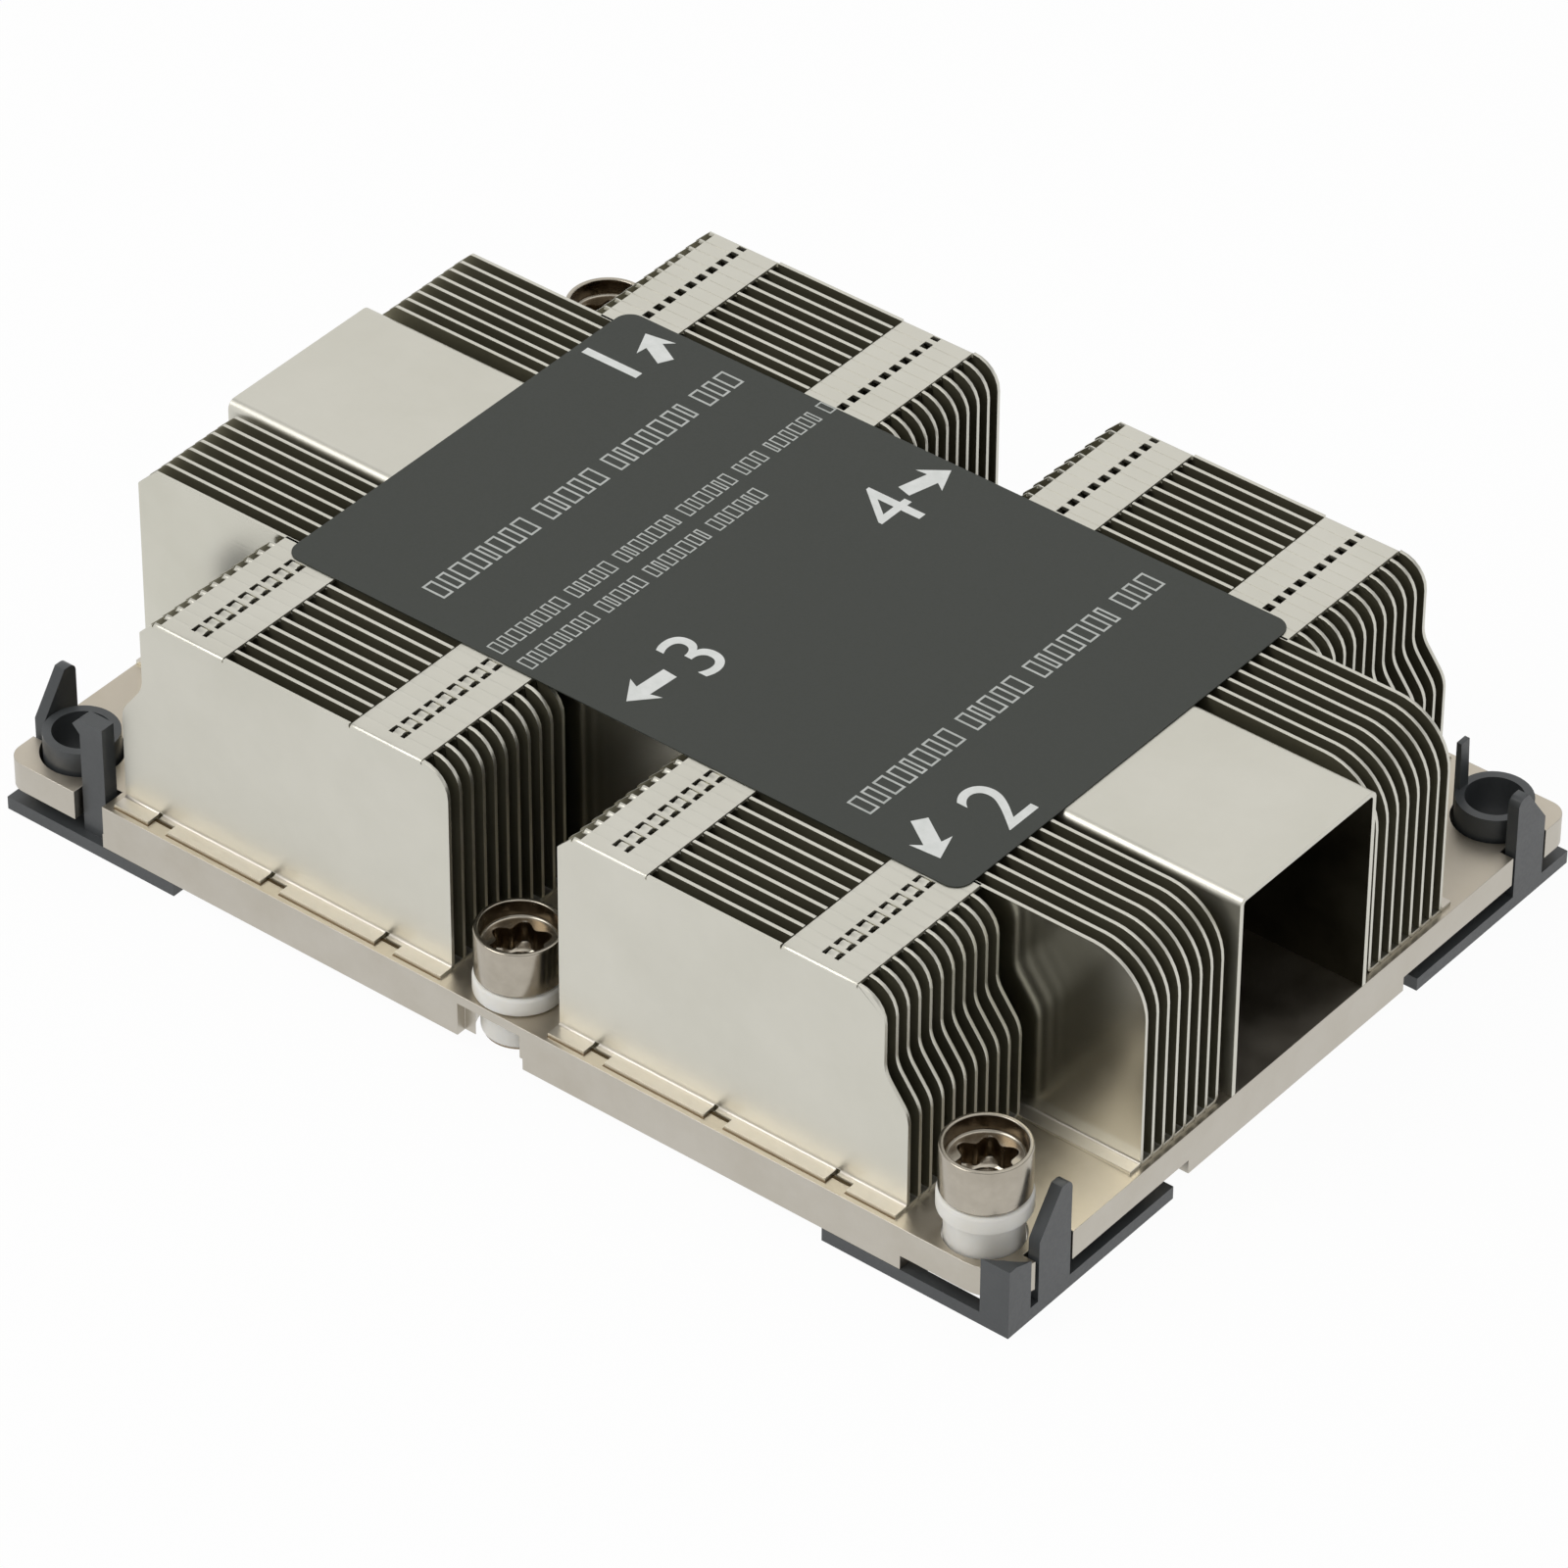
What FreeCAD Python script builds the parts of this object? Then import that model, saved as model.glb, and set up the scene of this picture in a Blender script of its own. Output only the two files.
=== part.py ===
import FreeCAD, Part
import math
import os
import Sketcher

# Passive heatsink for a one-unit server: a nickel-plated base plate, four corner stacks and
# two full-length groups of soldered zipper fins, a square air channel, a label, four captive
# nuts in nylon sleeves and the plastic carrier that holds the processor package below.
#
# Frame, in millimetres: X runs along the 108 side, Y along the 78 side and Z up. The origin
# is in the middle of the plate's outline, on the plane that the carrier stands on.

doc = FreeCAD.newDocument("server_heatsink")
sheet = doc.addObject("Spreadsheet::Sheet", "sizes")

DRIVING_SIZES = [
    ("plate_length", 108.0, "outline of the base plate along X"),
    ("plate_width", 78.0, "outline of the base plate along Y"),
    ("plate_corner", 1.8, "radius of the plate's corners at the guide holes"),
    ("post_corner", 4.6, "radius of the plate's corners at the raised nuts"),
    ("plate_thick", 2.95, "thin plate in the corners"),
    ("block_drop", 1.45, "how far the thick block reaches below the thin plate"),
    ("block_end", 11.0, "the thick block ends this far from a short edge"),
    ("block_half_band", 15.0, "half width of the block where it reaches the short edges"),
    ("pedestal_drop", 0.5, "contact pedestal below the block"),
    ("pedestal_gap", 3.5, "contact pedestal inside the package window"),
    ("fin_tall", 20.6, "fin height above the plate"),
    ("fin_sheet", 0.35, "sheet of the fins"),
    ("stack_edge", 2.3, "middle of an outermost fin from the long edge of the plate"),
    ("channel_half", 9.15, "middle of the channel's side wall"),
    ("channel_sheet", 0.5, "sheet of the channel"),
    ("long_fins", 8, "full-length fins on each side of the channel"),
    ("corner_fins", 11, "fins in each corner stack"),
    ("long_back", 0.6, "right end of the long fins from the plate's end"),
    ("long_round", 5.5, "rounded upper right corner of the long fins"),
    ("long_nick", 2.0, "bevelled upper left corner of the long fins"),
    ("gap_clear", 1.8, "corner stacks from the flange of the nut between them"),
    ("stack_back", 14.5, "outer end of the corner fins at the top, from the plate's end"),
    ("flare_out", 2.5, "how much further the corner fins reach at the plate"),
    ("flare_high", 13.0, "height where the outer end starts to flare"),
    ("flare_low", 9.6, "height where the flare ends"),
    ("knee", 2.8, "rounded upper right corner of a corner fin"),
    ("nick", 1.6, "bevelled upper left corner of a corner fin"),
    ("band_start", 1.6, "first flange band from the left end of a corner fin's top"),
    ("band_end", 2.9, "second flange band from the right end of a corner fin's top"),
    ("band_width", 7.6, "width of a flange band"),
    ("long_band", 24.0, "distance of the long fins' hidden bands from the middle"),
    ("foot_reach", 1.5, "visible foot flange of an outermost fin"),
    ("lock_slot", 1.0, "depth of the interlock slots in a visible foot"),
    ("lock_length", 2.2, "length of the interlock slots in a visible foot"),
    ("lock_start", 3.8, "first interlock slot from the left end of the foot"),
    ("lock_end", 5.0, "last interlock slot from the right end of the foot"),
    ("lock_slots", 3, "interlock slots in a visible foot"),
    ("label_end", 18.1, "label from the plate's short edges"),
    ("label_over", 1.95, "how far the label covers more than the long fins"),
    ("label_sheet", 0.15, "label film"),
    ("label_corner", 1.6, "radius of the label's corners"),
    ("nut_inset", 5.6, "corner nut from the plate's short edge"),
    ("nut_edge", 4.0, "every nut from the plate's long edge"),
    ("nut_lift", 2.8, "how far a captive nut floats up"),
    ("nut_back", 0.15, "steel nut inside the outline of its nylon flange"),
    ("nut_tall", 4.6, "steel nut above its sleeve"),
    ("cup_wall", 0.45, "wall of the cup at the top of the nut"),
    ("cup_deep", 1.7, "depth of the cup"),
    ("socket_over", 0.3, "flanks of the six-lobed socket outside the thread"),
    ("socket_lobe", 0.8, "tips of the six-lobed socket outside its flanks"),
    ("socket_deep", 2.2, "depth of the six-lobed socket"),
    ("thread_radius", 1.65, "threaded hole, minor diameter of M4"),
    ("shank_wall", 0.9, "wall of the nut's shank in the sleeve"),
    ("collar_tall", 0.7, "height of the swaged end below the sleeve"),
    ("collar_hold", 0.15, "how far the swaged end catches under the plate's lip"),
    ("sleeve_wall", 0.65, "wall of the nylon sleeve"),
    ("flange_out", 0.65, "nylon flange outside its barrel"),
    ("flange_tall", 1.8, "thickness of the nylon flange"),
    ("lip", 1.0, "plate left above the nut's counterbore"),
    ("slide_gap", 0.15, "play around what slides or turns"),
    ("end_gap", 0.1, "play along the axis of what slides or turns"),
    ("edge_notch_half", 3.5, "half width of the edge notch at a middle nut"),
    ("edge_notch_deep", 1.0, "depth of the edge notch at a middle nut"),
    ("carrier_thick", 1.3, "plate of the package carrier"),
    ("window_end", 15.5, "package window from the carrier's short edges"),
    ("window_side", 10.5, "package window from the carrier's long edges"),
    ("long_pad", 19.0, "length of the carrier's corners along the long edges"),
    ("short_pad", 22.0, "length of the carrier's corners along the short edges"),
    ("carrier_recess", 6.0, "how far the carrier stays inside the plate elsewhere"),
    ("pass_clear", 0.75, "opening in the carrier around the swaged end of a nut"),
    ("guide_inset", 4.6, "guide hole from the plate's short edge"),
    ("guide_edge", 4.8, "guide hole from the plate's long edge"),
    ("guide_bore", 2.6, "radius of the bore for the guide pin"),
    ("guide_wall", 0.8, "wall of the collar around that bore"),
    ("guide_tall", 2.2, "collar above the plate"),
    ("fit_gap", 0.3, "clearance of the carrier's uprights in the plate"),
    ("finger_width", 0.7, "finger on a guide collar, along X at its foot"),
    ("finger_point", 0.5, "the same finger, along X at its tip"),
    ("finger_depth", 1.2, "the same finger along Y"),
    ("finger_tall", 7.0, "the same finger above the plate"),
    ("hook_inset", 6.0, "middle of a hook from the long edge"),
    ("hook_width", 4.2, "width of a hook along Y"),
    ("hook_sheet", 1.1, "thickness of a hook along X"),
    ("hook_tall", 5.8, "hook above the plate"),
    ("hook_shoulder", 4.0, "height of a hook's slanted side"),
    ("hook_tip", 1.4, "width of a hook's tip"),
    ("hook_round", 0.8, "rounded edge of a hook's tip"),
    ("post_tall", 1.3, "corner post above the plate"),
    ("post_flat", 0.9, "flat top of a corner post, beside its slope"),
    ("latch_inset", 9.5, "middle of the snap latch from the short edge"),
    ("latch_width", 2.6, "snap latch along X"),
    ("latch_sheet", 1.5, "snap latch along Y"),
    ("latch_tall", 7.5, "snap latch above the plate"),
    ("latch_barb", 0.8, "reach of the barb at the tip of the snap latch"),
    ("latch_head", 1.6, "height of that barb"),
    ("latch_edge", 0.8, "snap latch from the long edge of the plate"),
    ("cut_over", 1.0, "how far a cutting shape reaches past what it cuts"),
]
for row, (alias, number, note) in enumerate(DRIVING_SIZES, start=1):
    sheet.set("A%d" % row, alias)
    sheet.set("B%d" % row, str(number))
    sheet.set("C%d" % row, note)
    sheet.setAlias("B%d" % row, alias)
doc.recompute()


class Size:
    """A length in millimetres that carries the formula it comes from."""

    def __init__(self, number, formula=None):
        self.number = float(number)
        self.formula = formula if formula else "(%r)" % float(number)

    def joined(self, other, sign, number):
        return Size(number, "(%s %s %s)" % (self.formula, sign, other.formula))

    def __add__(self, other):
        other = as_size(other)
        return self.joined(other, "+", self.number + other.number)

    def __sub__(self, other):
        other = as_size(other)
        return self.joined(other, "-", self.number - other.number)

    def __mul__(self, other):
        other = as_size(other)
        return self.joined(other, "*", self.number * other.number)

    def __truediv__(self, other):
        other = as_size(other)
        return self.joined(other, "/", self.number / other.number)

    def __neg__(self):
        return self * -1.0


def as_size(value):
    return value if isinstance(value, Size) else Size(value)


def get(alias):
    return Size(sheet.get(alias), "sizes." + alias)


def count(alias):
    return int(round(get(alias).number))


# Levels, from the plane that the carrier stands on.
block_bottom = get("carrier_thick")
thin_bottom = block_bottom + get("block_drop")
plate_top = thin_bottom + get("plate_thick")
fin_top = plate_top + get("fin_tall")
half_length = get("plate_length") / 2
half_width = get("plate_width") / 2
sheet_half = get("fin_sheet") / 2
cut_over = get("cut_over")
middle_line = as_size(0.0)

# The fins share the width between the channel's wall and the outermost fin.
fin_steps = get("long_fins") + get("corner_fins")
fin_pitch = (half_width - get("stack_edge") - get("channel_half")) / fin_steps
long_right = half_length - get("long_back")
outer_top = half_length - get("stack_back")
outer_foot = outer_top + get("flare_out")

# The captive nut from its thread outward, each layer in the one around it.
shank_radius = get("thread_radius") + get("shank_wall")
barrel_radius = shank_radius + get("slide_gap") + get("sleeve_wall")
flange_radius = barrel_radius + get("flange_out")
nut_radius = flange_radius - get("nut_back")
bore_radius = barrel_radius + get("slide_gap")
collar_radius = bore_radius + get("collar_hold")
gap_half = flange_radius + get("gap_clear")

nut_side = half_length - get("nut_inset")
nut_across = half_width - get("nut_edge")
guide_side = half_length - get("guide_inset")
guide_across = half_width - get("guide_edge")
guide_collar = get("guide_bore") + get("guide_wall")
hook_middle = half_width - get("hook_inset")
window_x = half_length - get("window_end")
window_y = half_width - get("window_side")


def bind(item, name, value):
    item.setExpression(name, as_size(value).formula)


def place(item, x=0.0, y=0.0, z=0.0):
    for axis, value in zip("xyz", (x, y, z)):
        bind(item, "Placement.Base." + axis, value)


def new_body(name):
    body = doc.addObject("PartDesign::Body", name)
    body.Label = name
    return body


def plane_of(body, role):
    for feature in body.Origin.OriginFeatures:
        if feature.Role == role:
            return feature
    raise ValueError(role)


# Directions of a sketch's own axes on each origin plane: a drawing on XZ_Plane has its
# first axis along X and its second along Z, and one on YZ_Plane along Y and Z.
def outline(body, name, role, points, level=0.0):
    """A closed outline of straight lines with every corner tied to the sheet."""
    sketch = body.newObject("Sketcher::SketchObject", name)
    sketch.AttachmentSupport = [(plane_of(body, role), "")]
    sketch.MapMode = "FlatFace"
    bind(sketch, "AttachmentOffset.Base.z", level)
    add_loop(sketch, points)
    return sketch


def add_loop(sketch, points):
    corners = [(as_size(a), as_size(b)) for a, b in points]
    vectors = [FreeCAD.Vector(a.number, b.number, 0) for a, b in corners]
    total = len(corners)
    first = sketch.GeometryCount
    lines = [Part.LineSegment(vectors[i], vectors[(i + 1) % total]) for i in range(total)]
    sketch.addGeometry(lines, False)
    for i in range(total):
        this, following = first + i, first + (i + 1) % total
        sketch.addConstraint(Sketcher.Constraint("Coincident", this, 2, following, 1))
    for i, (a, b) in enumerate(corners):
        for kind, value in (("DistanceX", a), ("DistanceY", b)):
            number = sketch.addConstraint(
                Sketcher.Constraint(kind, -1, 1, first + i, 1, value.number))
            sketch.setExpression("Constraints[%d]" % number, value.formula)


def rectangle(left, right, low, high):
    return [(left, low), (right, low), (right, high), (left, high)]


def add_circle(sketch, x, y, radius):
    x, y, radius = as_size(x), as_size(y), as_size(radius)
    centre = FreeCAD.Vector(x.number, y.number, 0)
    ring = sketch.addGeometry(Part.Circle(centre, FreeCAD.Vector(0, 0, 1), radius.number), False)
    for kind, value in (("DistanceX", x), ("DistanceY", y)):
        number = sketch.addConstraint(Sketcher.Constraint(kind, -1, 1, ring, 3, value.number))
        sketch.setExpression("Constraints[%d]" % number, value.formula)
    number = sketch.addConstraint(Sketcher.Constraint("Radius", ring, radius.number))
    sketch.setExpression("Constraints[%d]" % number, radius.formula)


def extrude(body, sketch, length, both=False, backward=False):
    feature = body.newObject("PartDesign::Pad", "pad_" + sketch.Name)
    feature.Profile = sketch
    bind(feature, "Length", length)
    feature.Midplane = both
    feature.Reversed = backward
    sketch.Visibility = False
    doc.recompute()
    return feature


def cut_away(body, sketch, depth, backward=False):
    before = body.Shape.Volume
    feature = body.newObject("PartDesign::Pocket", "cut_" + sketch.Name)
    feature.Profile = sketch
    bind(feature, "Length", depth)
    feature.Reversed = backward
    sketch.Visibility = False
    doc.recompute()
    if body.Shape.Volume > before - 1e-6:
        raise ValueError("nothing was cut by " + sketch.Name)
    return feature


def edges_at(shape, axis, spots, reach=1e-4):
    """Names of the straight edges along an axis whose other two coordinates are a spot."""
    others = [i for i in range(3) if i != axis]
    names = []
    for number, edge in enumerate(shape.Edges, start=1):
        if len(edge.Vertexes) != 2:
            continue
        start, end = edge.Vertexes[0].Point, edge.Vertexes[1].Point
        if any(abs(start[i] - end[i]) > reach for i in others):
            continue
        for spot in spots:
            if all(abs(start[i] - spot[k]) < reach for k, i in enumerate(others)):
                names.append("Edge%d" % number)
    return names


def round_edges(body, name, axis, spots, radius):
    spots = [tuple(as_size(value).number for value in spot) for spot in spots]
    base = body.Tip
    feature = body.newObject("PartDesign::Fillet", name)
    feature.Base = (base, edges_at(base.Shape, axis, spots))
    bind(feature, "Radius", radius)
    doc.recompute()
    return feature


# Base plate: a thin plate with a thicker cross-shaped block and the contact pedestal below.
def base_plate():
    body = new_body("base_plate")
    slab = outline(body, "plate_outline", "XY_Plane",
                   rectangle(-half_length, half_length, -half_width, half_width), thin_bottom)
    extrude(body, slab, get("plate_thick"))
    round_edges(body, "guide_corners", 2,
                [(-half_length, -half_width), (half_length, half_width)], get("plate_corner"))
    round_edges(body, "post_corners", 2,
                [(half_length, -half_width), (-half_length, half_width)], get("post_corner"))

    long_half, band = half_length - get("block_end"), get("block_half_band")
    cross = [(-long_half, -half_width), (long_half, -half_width), (long_half, -band),
             (half_length, -band), (half_length, band), (long_half, band),
             (long_half, half_width), (-long_half, half_width), (-long_half, band),
             (-half_length, band), (-half_length, -band), (-long_half, -band)]
    extrude(body, outline(body, "block_outline", "XY_Plane", cross, block_bottom),
            get("block_drop"))

    pedestal_x = window_x - get("pedestal_gap")
    pedestal_y = window_y - get("pedestal_gap")
    pedestal = rectangle(-pedestal_x, pedestal_x, -pedestal_y, pedestal_y)
    low = block_bottom - get("pedestal_drop")
    extrude(body, outline(body, "pedestal_outline", "XY_Plane", pedestal, low),
            get("pedestal_drop"))

    # A shallow notch in each long edge in front of a middle nut, below the lip.
    notch_half = get("edge_notch_half")
    notch_in = half_width - get("edge_notch_deep")
    notch = outline(body, "edge_notch_near", "XY_Plane",
                    rectangle(-notch_half, notch_half, -half_width - cut_over, -notch_in),
                    block_bottom)
    add_loop(notch, rectangle(-notch_half, notch_half, notch_in, half_width + cut_over))
    deep = get("block_drop") + get("plate_thick") - get("lip")
    cut_away(body, notch, deep, backward=True)

    # Holes for the nut sleeves, wider below the lip for the swaged ends.
    bores = body.newObject("Sketcher::SketchObject", "nut_bores")
    wide = body.newObject("Sketcher::SketchObject", "nut_counterbores")
    for sketch, radius in ((bores, bore_radius),
                           (wide, collar_radius + get("slide_gap"))):
        sketch.AttachmentSupport = [(plane_of(body, "XY_Plane"), "")]
        sketch.MapMode = "FlatFace"
        bind(sketch, "AttachmentOffset.Base.z", block_bottom)
        for x, y, lifted in NUT_PLACES:
            add_circle(sketch, x, y, radius)
    cut_away(body, bores, deep + get("lip"), backward=True)
    cut_away(body, wide, deep, backward=True)

    # Guide holes for the carrier's collars, and edge notches for its hooks and its latch.
    guides = body.newObject("Sketcher::SketchObject", "guide_holes")
    guides.AttachmentSupport = [(plane_of(body, "XY_Plane"), "")]
    guides.MapMode = "FlatFace"
    bind(guides, "AttachmentOffset.Base.z", thin_bottom)
    for side in (-1, 1):
        add_circle(guides, guide_side * side, guide_across * side,
                   guide_collar + get("fit_gap"))
    cut_away(body, guides, get("plate_thick"), backward=True)
    slots = None
    for left, right, low_y, high_y in upright_slots():
        loop = rectangle(left, right, low_y, high_y)
        if slots is None:
            slots = outline(body, "upright_slots", "XY_Plane", loop, thin_bottom)
        else:
            add_loop(slots, loop)
    cut_away(body, slots, get("plate_thick"), backward=True)
    return body


def in_order(first, second):
    return (first, second) if first.number < second.number else (second, first)


def upright_slots():
    """Edge notches around the hooks and the latch: left, right, near and far limits."""
    gap = get("fit_gap")
    inner = half_length - get("hook_sheet") - gap
    reach = get("hook_width") / 2 + gap
    for side in (-1, 1):
        for across in (-1, 1):
            middle = hook_middle * across
            left, right = in_order(inner * side, (half_length + cut_over) * side)
            yield left, right, middle - reach, middle + reach
    latch_middle = get("latch_inset") - half_length
    reach = get("latch_width") / 2 + gap
    far = get("latch_edge") + get("latch_sheet") + gap - half_width
    yield latch_middle - reach, latch_middle + reach, -half_width - cut_over, far


# Zipper fins. Each is a sheet in an XZ plane with flanges folded over at the top, which
# reach the next sheet, and a foot folded outward on the plate.
def fin_sheet(body, name, points):
    sketch = outline(body, name, "XZ_Plane", points)
    return extrude(body, sketch, get("fin_sheet"), both=True)


def strip(body, name, left, right, start, end, low):
    """A flat strip of the fin's sheet between two Y values, on a level."""
    sketch = outline(body, name, "XY_Plane", rectangle(left, right, start, end), low)
    return extrude(body, sketch, get("fin_sheet"))


def add_bands(body, name, bands):
    """Flange bands folded over at the top of a fin."""
    sketch = outline(body, name, "XY_Plane", bands[0], fin_top - get("fin_sheet"))
    for band in bands[1:]:
        add_loop(sketch, band)
    extrude(body, sketch, get("fin_sheet"))


# Sixty fins have this corner, so its arc is drawn with a few chords.
KNEE_CHORDS = 4


def eased_top(left, right, knee, nick):
    """Top of a fin from right to left: its rounded corner, then its bevelled one."""
    points = []
    for step in range(KNEE_CHORDS + 1):
        angle = math.pi / 2 * step / KNEE_CHORDS
        points.append((right - knee + knee * math.cos(angle),
                       fin_top - knee + knee * math.sin(angle)))
    return points + [(left + nick, fin_top), (left, fin_top - nick)]


def corner_profile(side):
    """Outline of a corner fin in X and Z: straight at the gap, flared at the plate's end."""
    left, right = in_order(gap_half * side, outer_top * side)
    top = eased_top(left, right, get("knee"), get("nick"))
    gap_foot, outer = (gap_half * side, plate_top), outer_foot * side
    flare = [(outer, plate_top), (outer, plate_top + get("flare_low")),
             (outer_top * side, plate_top + get("flare_high"))]
    if side > 0:
        return [gap_foot] + flare + top
    return [gap_foot] + top + flare[::-1]


def corner_fin(name, side, inward, visible_foot):
    body = new_body(name)
    fin_sheet(body, name + "_sheet", corner_profile(side))
    left, right = in_order(gap_half * side, outer_top * side)
    reach = fin_pitch - get("fin_sheet")
    low, high = in_order(sheet_half * inward, (sheet_half + reach) * inward)
    bands = []
    for start in (left + get("band_start"), right - get("band_end") - get("band_width")):
        bands.append(rectangle(start, start + get("band_width"), low, high))
    add_bands(body, name + "_bands", bands)

    out = get("foot_reach") if visible_foot else reach
    free_edge = -(sheet_half + out) * inward
    start, end = in_order(gap_half * side, outer_foot * side)
    low, high = in_order(-sheet_half * inward, free_edge)
    strip(body, name + "_foot", start, end, low, high, plate_top)
    if visible_foot:
        cut_locks(body, name + "_locks", start, end, free_edge, inward)
    return body


def cut_locks(body, name, start, end, edge, inward):
    """Interlock slots in the free edge of a visible foot."""
    sketch = None
    first = start + get("lock_start")
    last = end - get("lock_end") - get("lock_length")
    step = (last - first) / (get("lock_slots") - 1)
    for number in range(count("lock_slots")):
        left = first + step * number
        right = left + get("lock_length")
        low, high = in_order(edge + get("lock_slot") * inward, edge - cut_over * inward)
        loop = rectangle(left, right, low, high)
        if sketch is None:
            sketch = outline(body, name, "XY_Plane", loop, plate_top)
        else:
            add_loop(sketch, loop)
    cut_away(body, sketch, get("fin_sheet"), backward=True)


def twin(name, source, x=0.0, y=0.0, z=0.0):
    """Another piece of the same form at its own place."""
    body = new_body(name)
    form = doc.addObject("PartDesign::FeatureBase", name + "_form")
    body.addObject(form)
    form.BaseFeature = source
    form.Placement = source.Placement
    body.Tip = form
    place(body, x, y, z)
    return body


def corner_stack(corner, side, inward):
    """One corner stack, its outermost fin with the visible foot first."""
    pieces = []
    inner_master = None
    for number in range(count("corner_fins")):
        name = "corner_fin_%s_%02d" % (corner, number + 1)
        steps = count("long_fins") + count("corner_fins") - number
        y = (get("channel_half") + fin_pitch * steps) * -inward
        if number == 0:
            body = corner_fin(name, side, inward, True)
            place(body, 0.0, y, 0.0)
        elif inner_master is None:
            body = corner_fin(name, side, inward, False)
            place(body, 0.0, y, 0.0)
            inner_master = body
        else:
            body = twin(name, inner_master.Tip, 0.0, y, 0.0)
        pieces.append(body)
    return pieces


def long_group(name, inward):
    """Full-length fins from the outermost one in, joined at their feet and bands."""
    body = new_body(name)
    left, right = -half_length, long_right
    top = eased_top(left, right, get("long_round"), get("long_nick"))
    fin_sheet(body, name + "_sheet", [(left, plate_top), (right, plate_top)] + top)
    reach = fin_pitch - get("fin_sheet")
    low, high = in_order(-sheet_half * inward, -(sheet_half + reach) * inward)
    strip(body, name + "_foot", left, right, low, high, plate_top)
    low, high = in_order(sheet_half * inward, (sheet_half + reach) * inward)
    bands = []
    for middle in (-get("long_band"), get("long_band")):
        left_end = middle - get("band_width") / 2
        bands.append(rectangle(left_end, left_end + get("band_width"), low, high))
    add_bands(body, name + "_bands", bands)
    pattern = body.newObject("PartDesign::LinearPattern", name + "_row")
    pattern.TransformMode = "Whole shape"
    pattern.Direction = (plane_of(body, "Y_Axis"), [""])
    bind(pattern, "Length", fin_pitch * (get("long_fins") - 1))
    pattern.Reversed = inward < 0
    bind(pattern, "Occurrences", get("long_fins"))
    body.Tip = pattern
    place(body, 0.0, (get("channel_half") + fin_pitch * get("long_fins")) * -inward, 0.0)
    doc.recompute()
    return body


def air_channel():
    """A sheet folded to a square tunnel that is open at both ends and stands on the plate."""
    body = new_body("air_channel")
    wall = get("channel_half") + sheet_half
    inside = wall - get("channel_sheet")
    under = fin_top - get("channel_sheet")
    fold = [(-wall, plate_top), (-inside, plate_top), (-inside, under), (inside, under),
            (inside, plate_top), (wall, plate_top), (wall, fin_top), (-wall, fin_top)]
    sketch = outline(body, "channel_fold", "YZ_Plane", fold)
    extrude(body, sketch, get("plate_length"), both=True)
    return body


def label():
    body = new_body("label")
    half_x = half_length - get("label_end")
    half_y = get("channel_half") + fin_pitch * get("long_fins") + get("label_over")
    sketch = outline(body, "label_outline", "XY_Plane",
                     rectangle(-half_x, half_x, -half_y, half_y), fin_top)
    extrude(body, sketch, get("label_sheet"))
    spots = [(half_x * a, half_y * b) for a in (-1, 1) for b in (-1, 1)]
    round_edges(body, "label_corners", 2, spots, get("label_corner"))
    return body


# Captive nuts: a steel nut turns in a nylon sleeve, and the sleeve slides in the plate.
# Both are drawn with the underside of the nylon flange on the level of the plate's top.
NUT_PLACES = [
    (-nut_side, nut_across, True),
    (nut_side, -nut_across, True),
    (middle_line, -nut_across, False),
    (middle_line, nut_across, False),
]


def revolve(body, name, points):
    sketch = outline(body, name, "XZ_Plane", points)
    feature = body.newObject("PartDesign::Revolution", "turned_" + name)
    feature.Profile = sketch
    feature.ReferenceAxis = (sketch, ["V_Axis"])
    feature.Angle = 360.0
    sketch.Visibility = False
    doc.recompute()
    return feature


# The sleeve reaches below the lip by the lift, so that the swaged end stops under the lip.
sleeve_deep = get("lip") + get("nut_lift") + get("end_gap") / 2


def nut_sleeve(name):
    """A flanged nylon sleeve, held between the head of the nut and its swaged end."""
    body = new_body(name)
    inside = shank_radius + get("slide_gap")
    profile = [(inside, -sleeve_deep), (barrel_radius, -sleeve_deep), (barrel_radius, 0.0),
               (flange_radius, 0.0), (flange_radius, get("flange_tall")),
               (inside, get("flange_tall"))]
    revolve(body, name + "_section", profile)
    return body


def captive_nut(name):
    """A cupped steel nut on a threaded shank, swaged out below the sleeve."""
    body = new_body(name)
    play = get("end_gap") / 2
    seat = get("flange_tall") + play
    top = seat + get("nut_tall")
    floor = top - get("cup_deep")
    collar_top = -sleeve_deep - play
    end = collar_top - get("collar_tall")
    thread, cup = get("thread_radius"), nut_radius - get("cup_wall")
    profile = [(thread, end), (collar_radius, collar_top), (shank_radius, collar_top),
               (shank_radius, seat), (nut_radius, seat), (nut_radius, top), (cup, top),
               (cup, floor), (thread, floor)]
    revolve(body, name + "_section", profile)
    cut_away(body, lobed_socket(body, name + "_socket", floor), get("socket_deep"))
    return body


SOCKET_LOBES = 6
SOCKET_CHORDS = 4 * SOCKET_LOBES


def lobed_socket(body, name, level):
    """Six rounded lobes, drawn as short chords between the tips and the waists."""
    waist = get("thread_radius") + get("socket_over")
    tip = waist + get("socket_lobe")
    middle, swing = (tip + waist) / 2, (tip - waist) / 2
    points = []
    for step in range(SOCKET_CHORDS):
        angle = 2 * math.pi * step / SOCKET_CHORDS
        radius = middle + swing * math.cos(SOCKET_LOBES * angle)
        points.append((radius * math.cos(angle), radius * math.sin(angle)))
    return outline(body, name, "XY_Plane", points, level)


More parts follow.
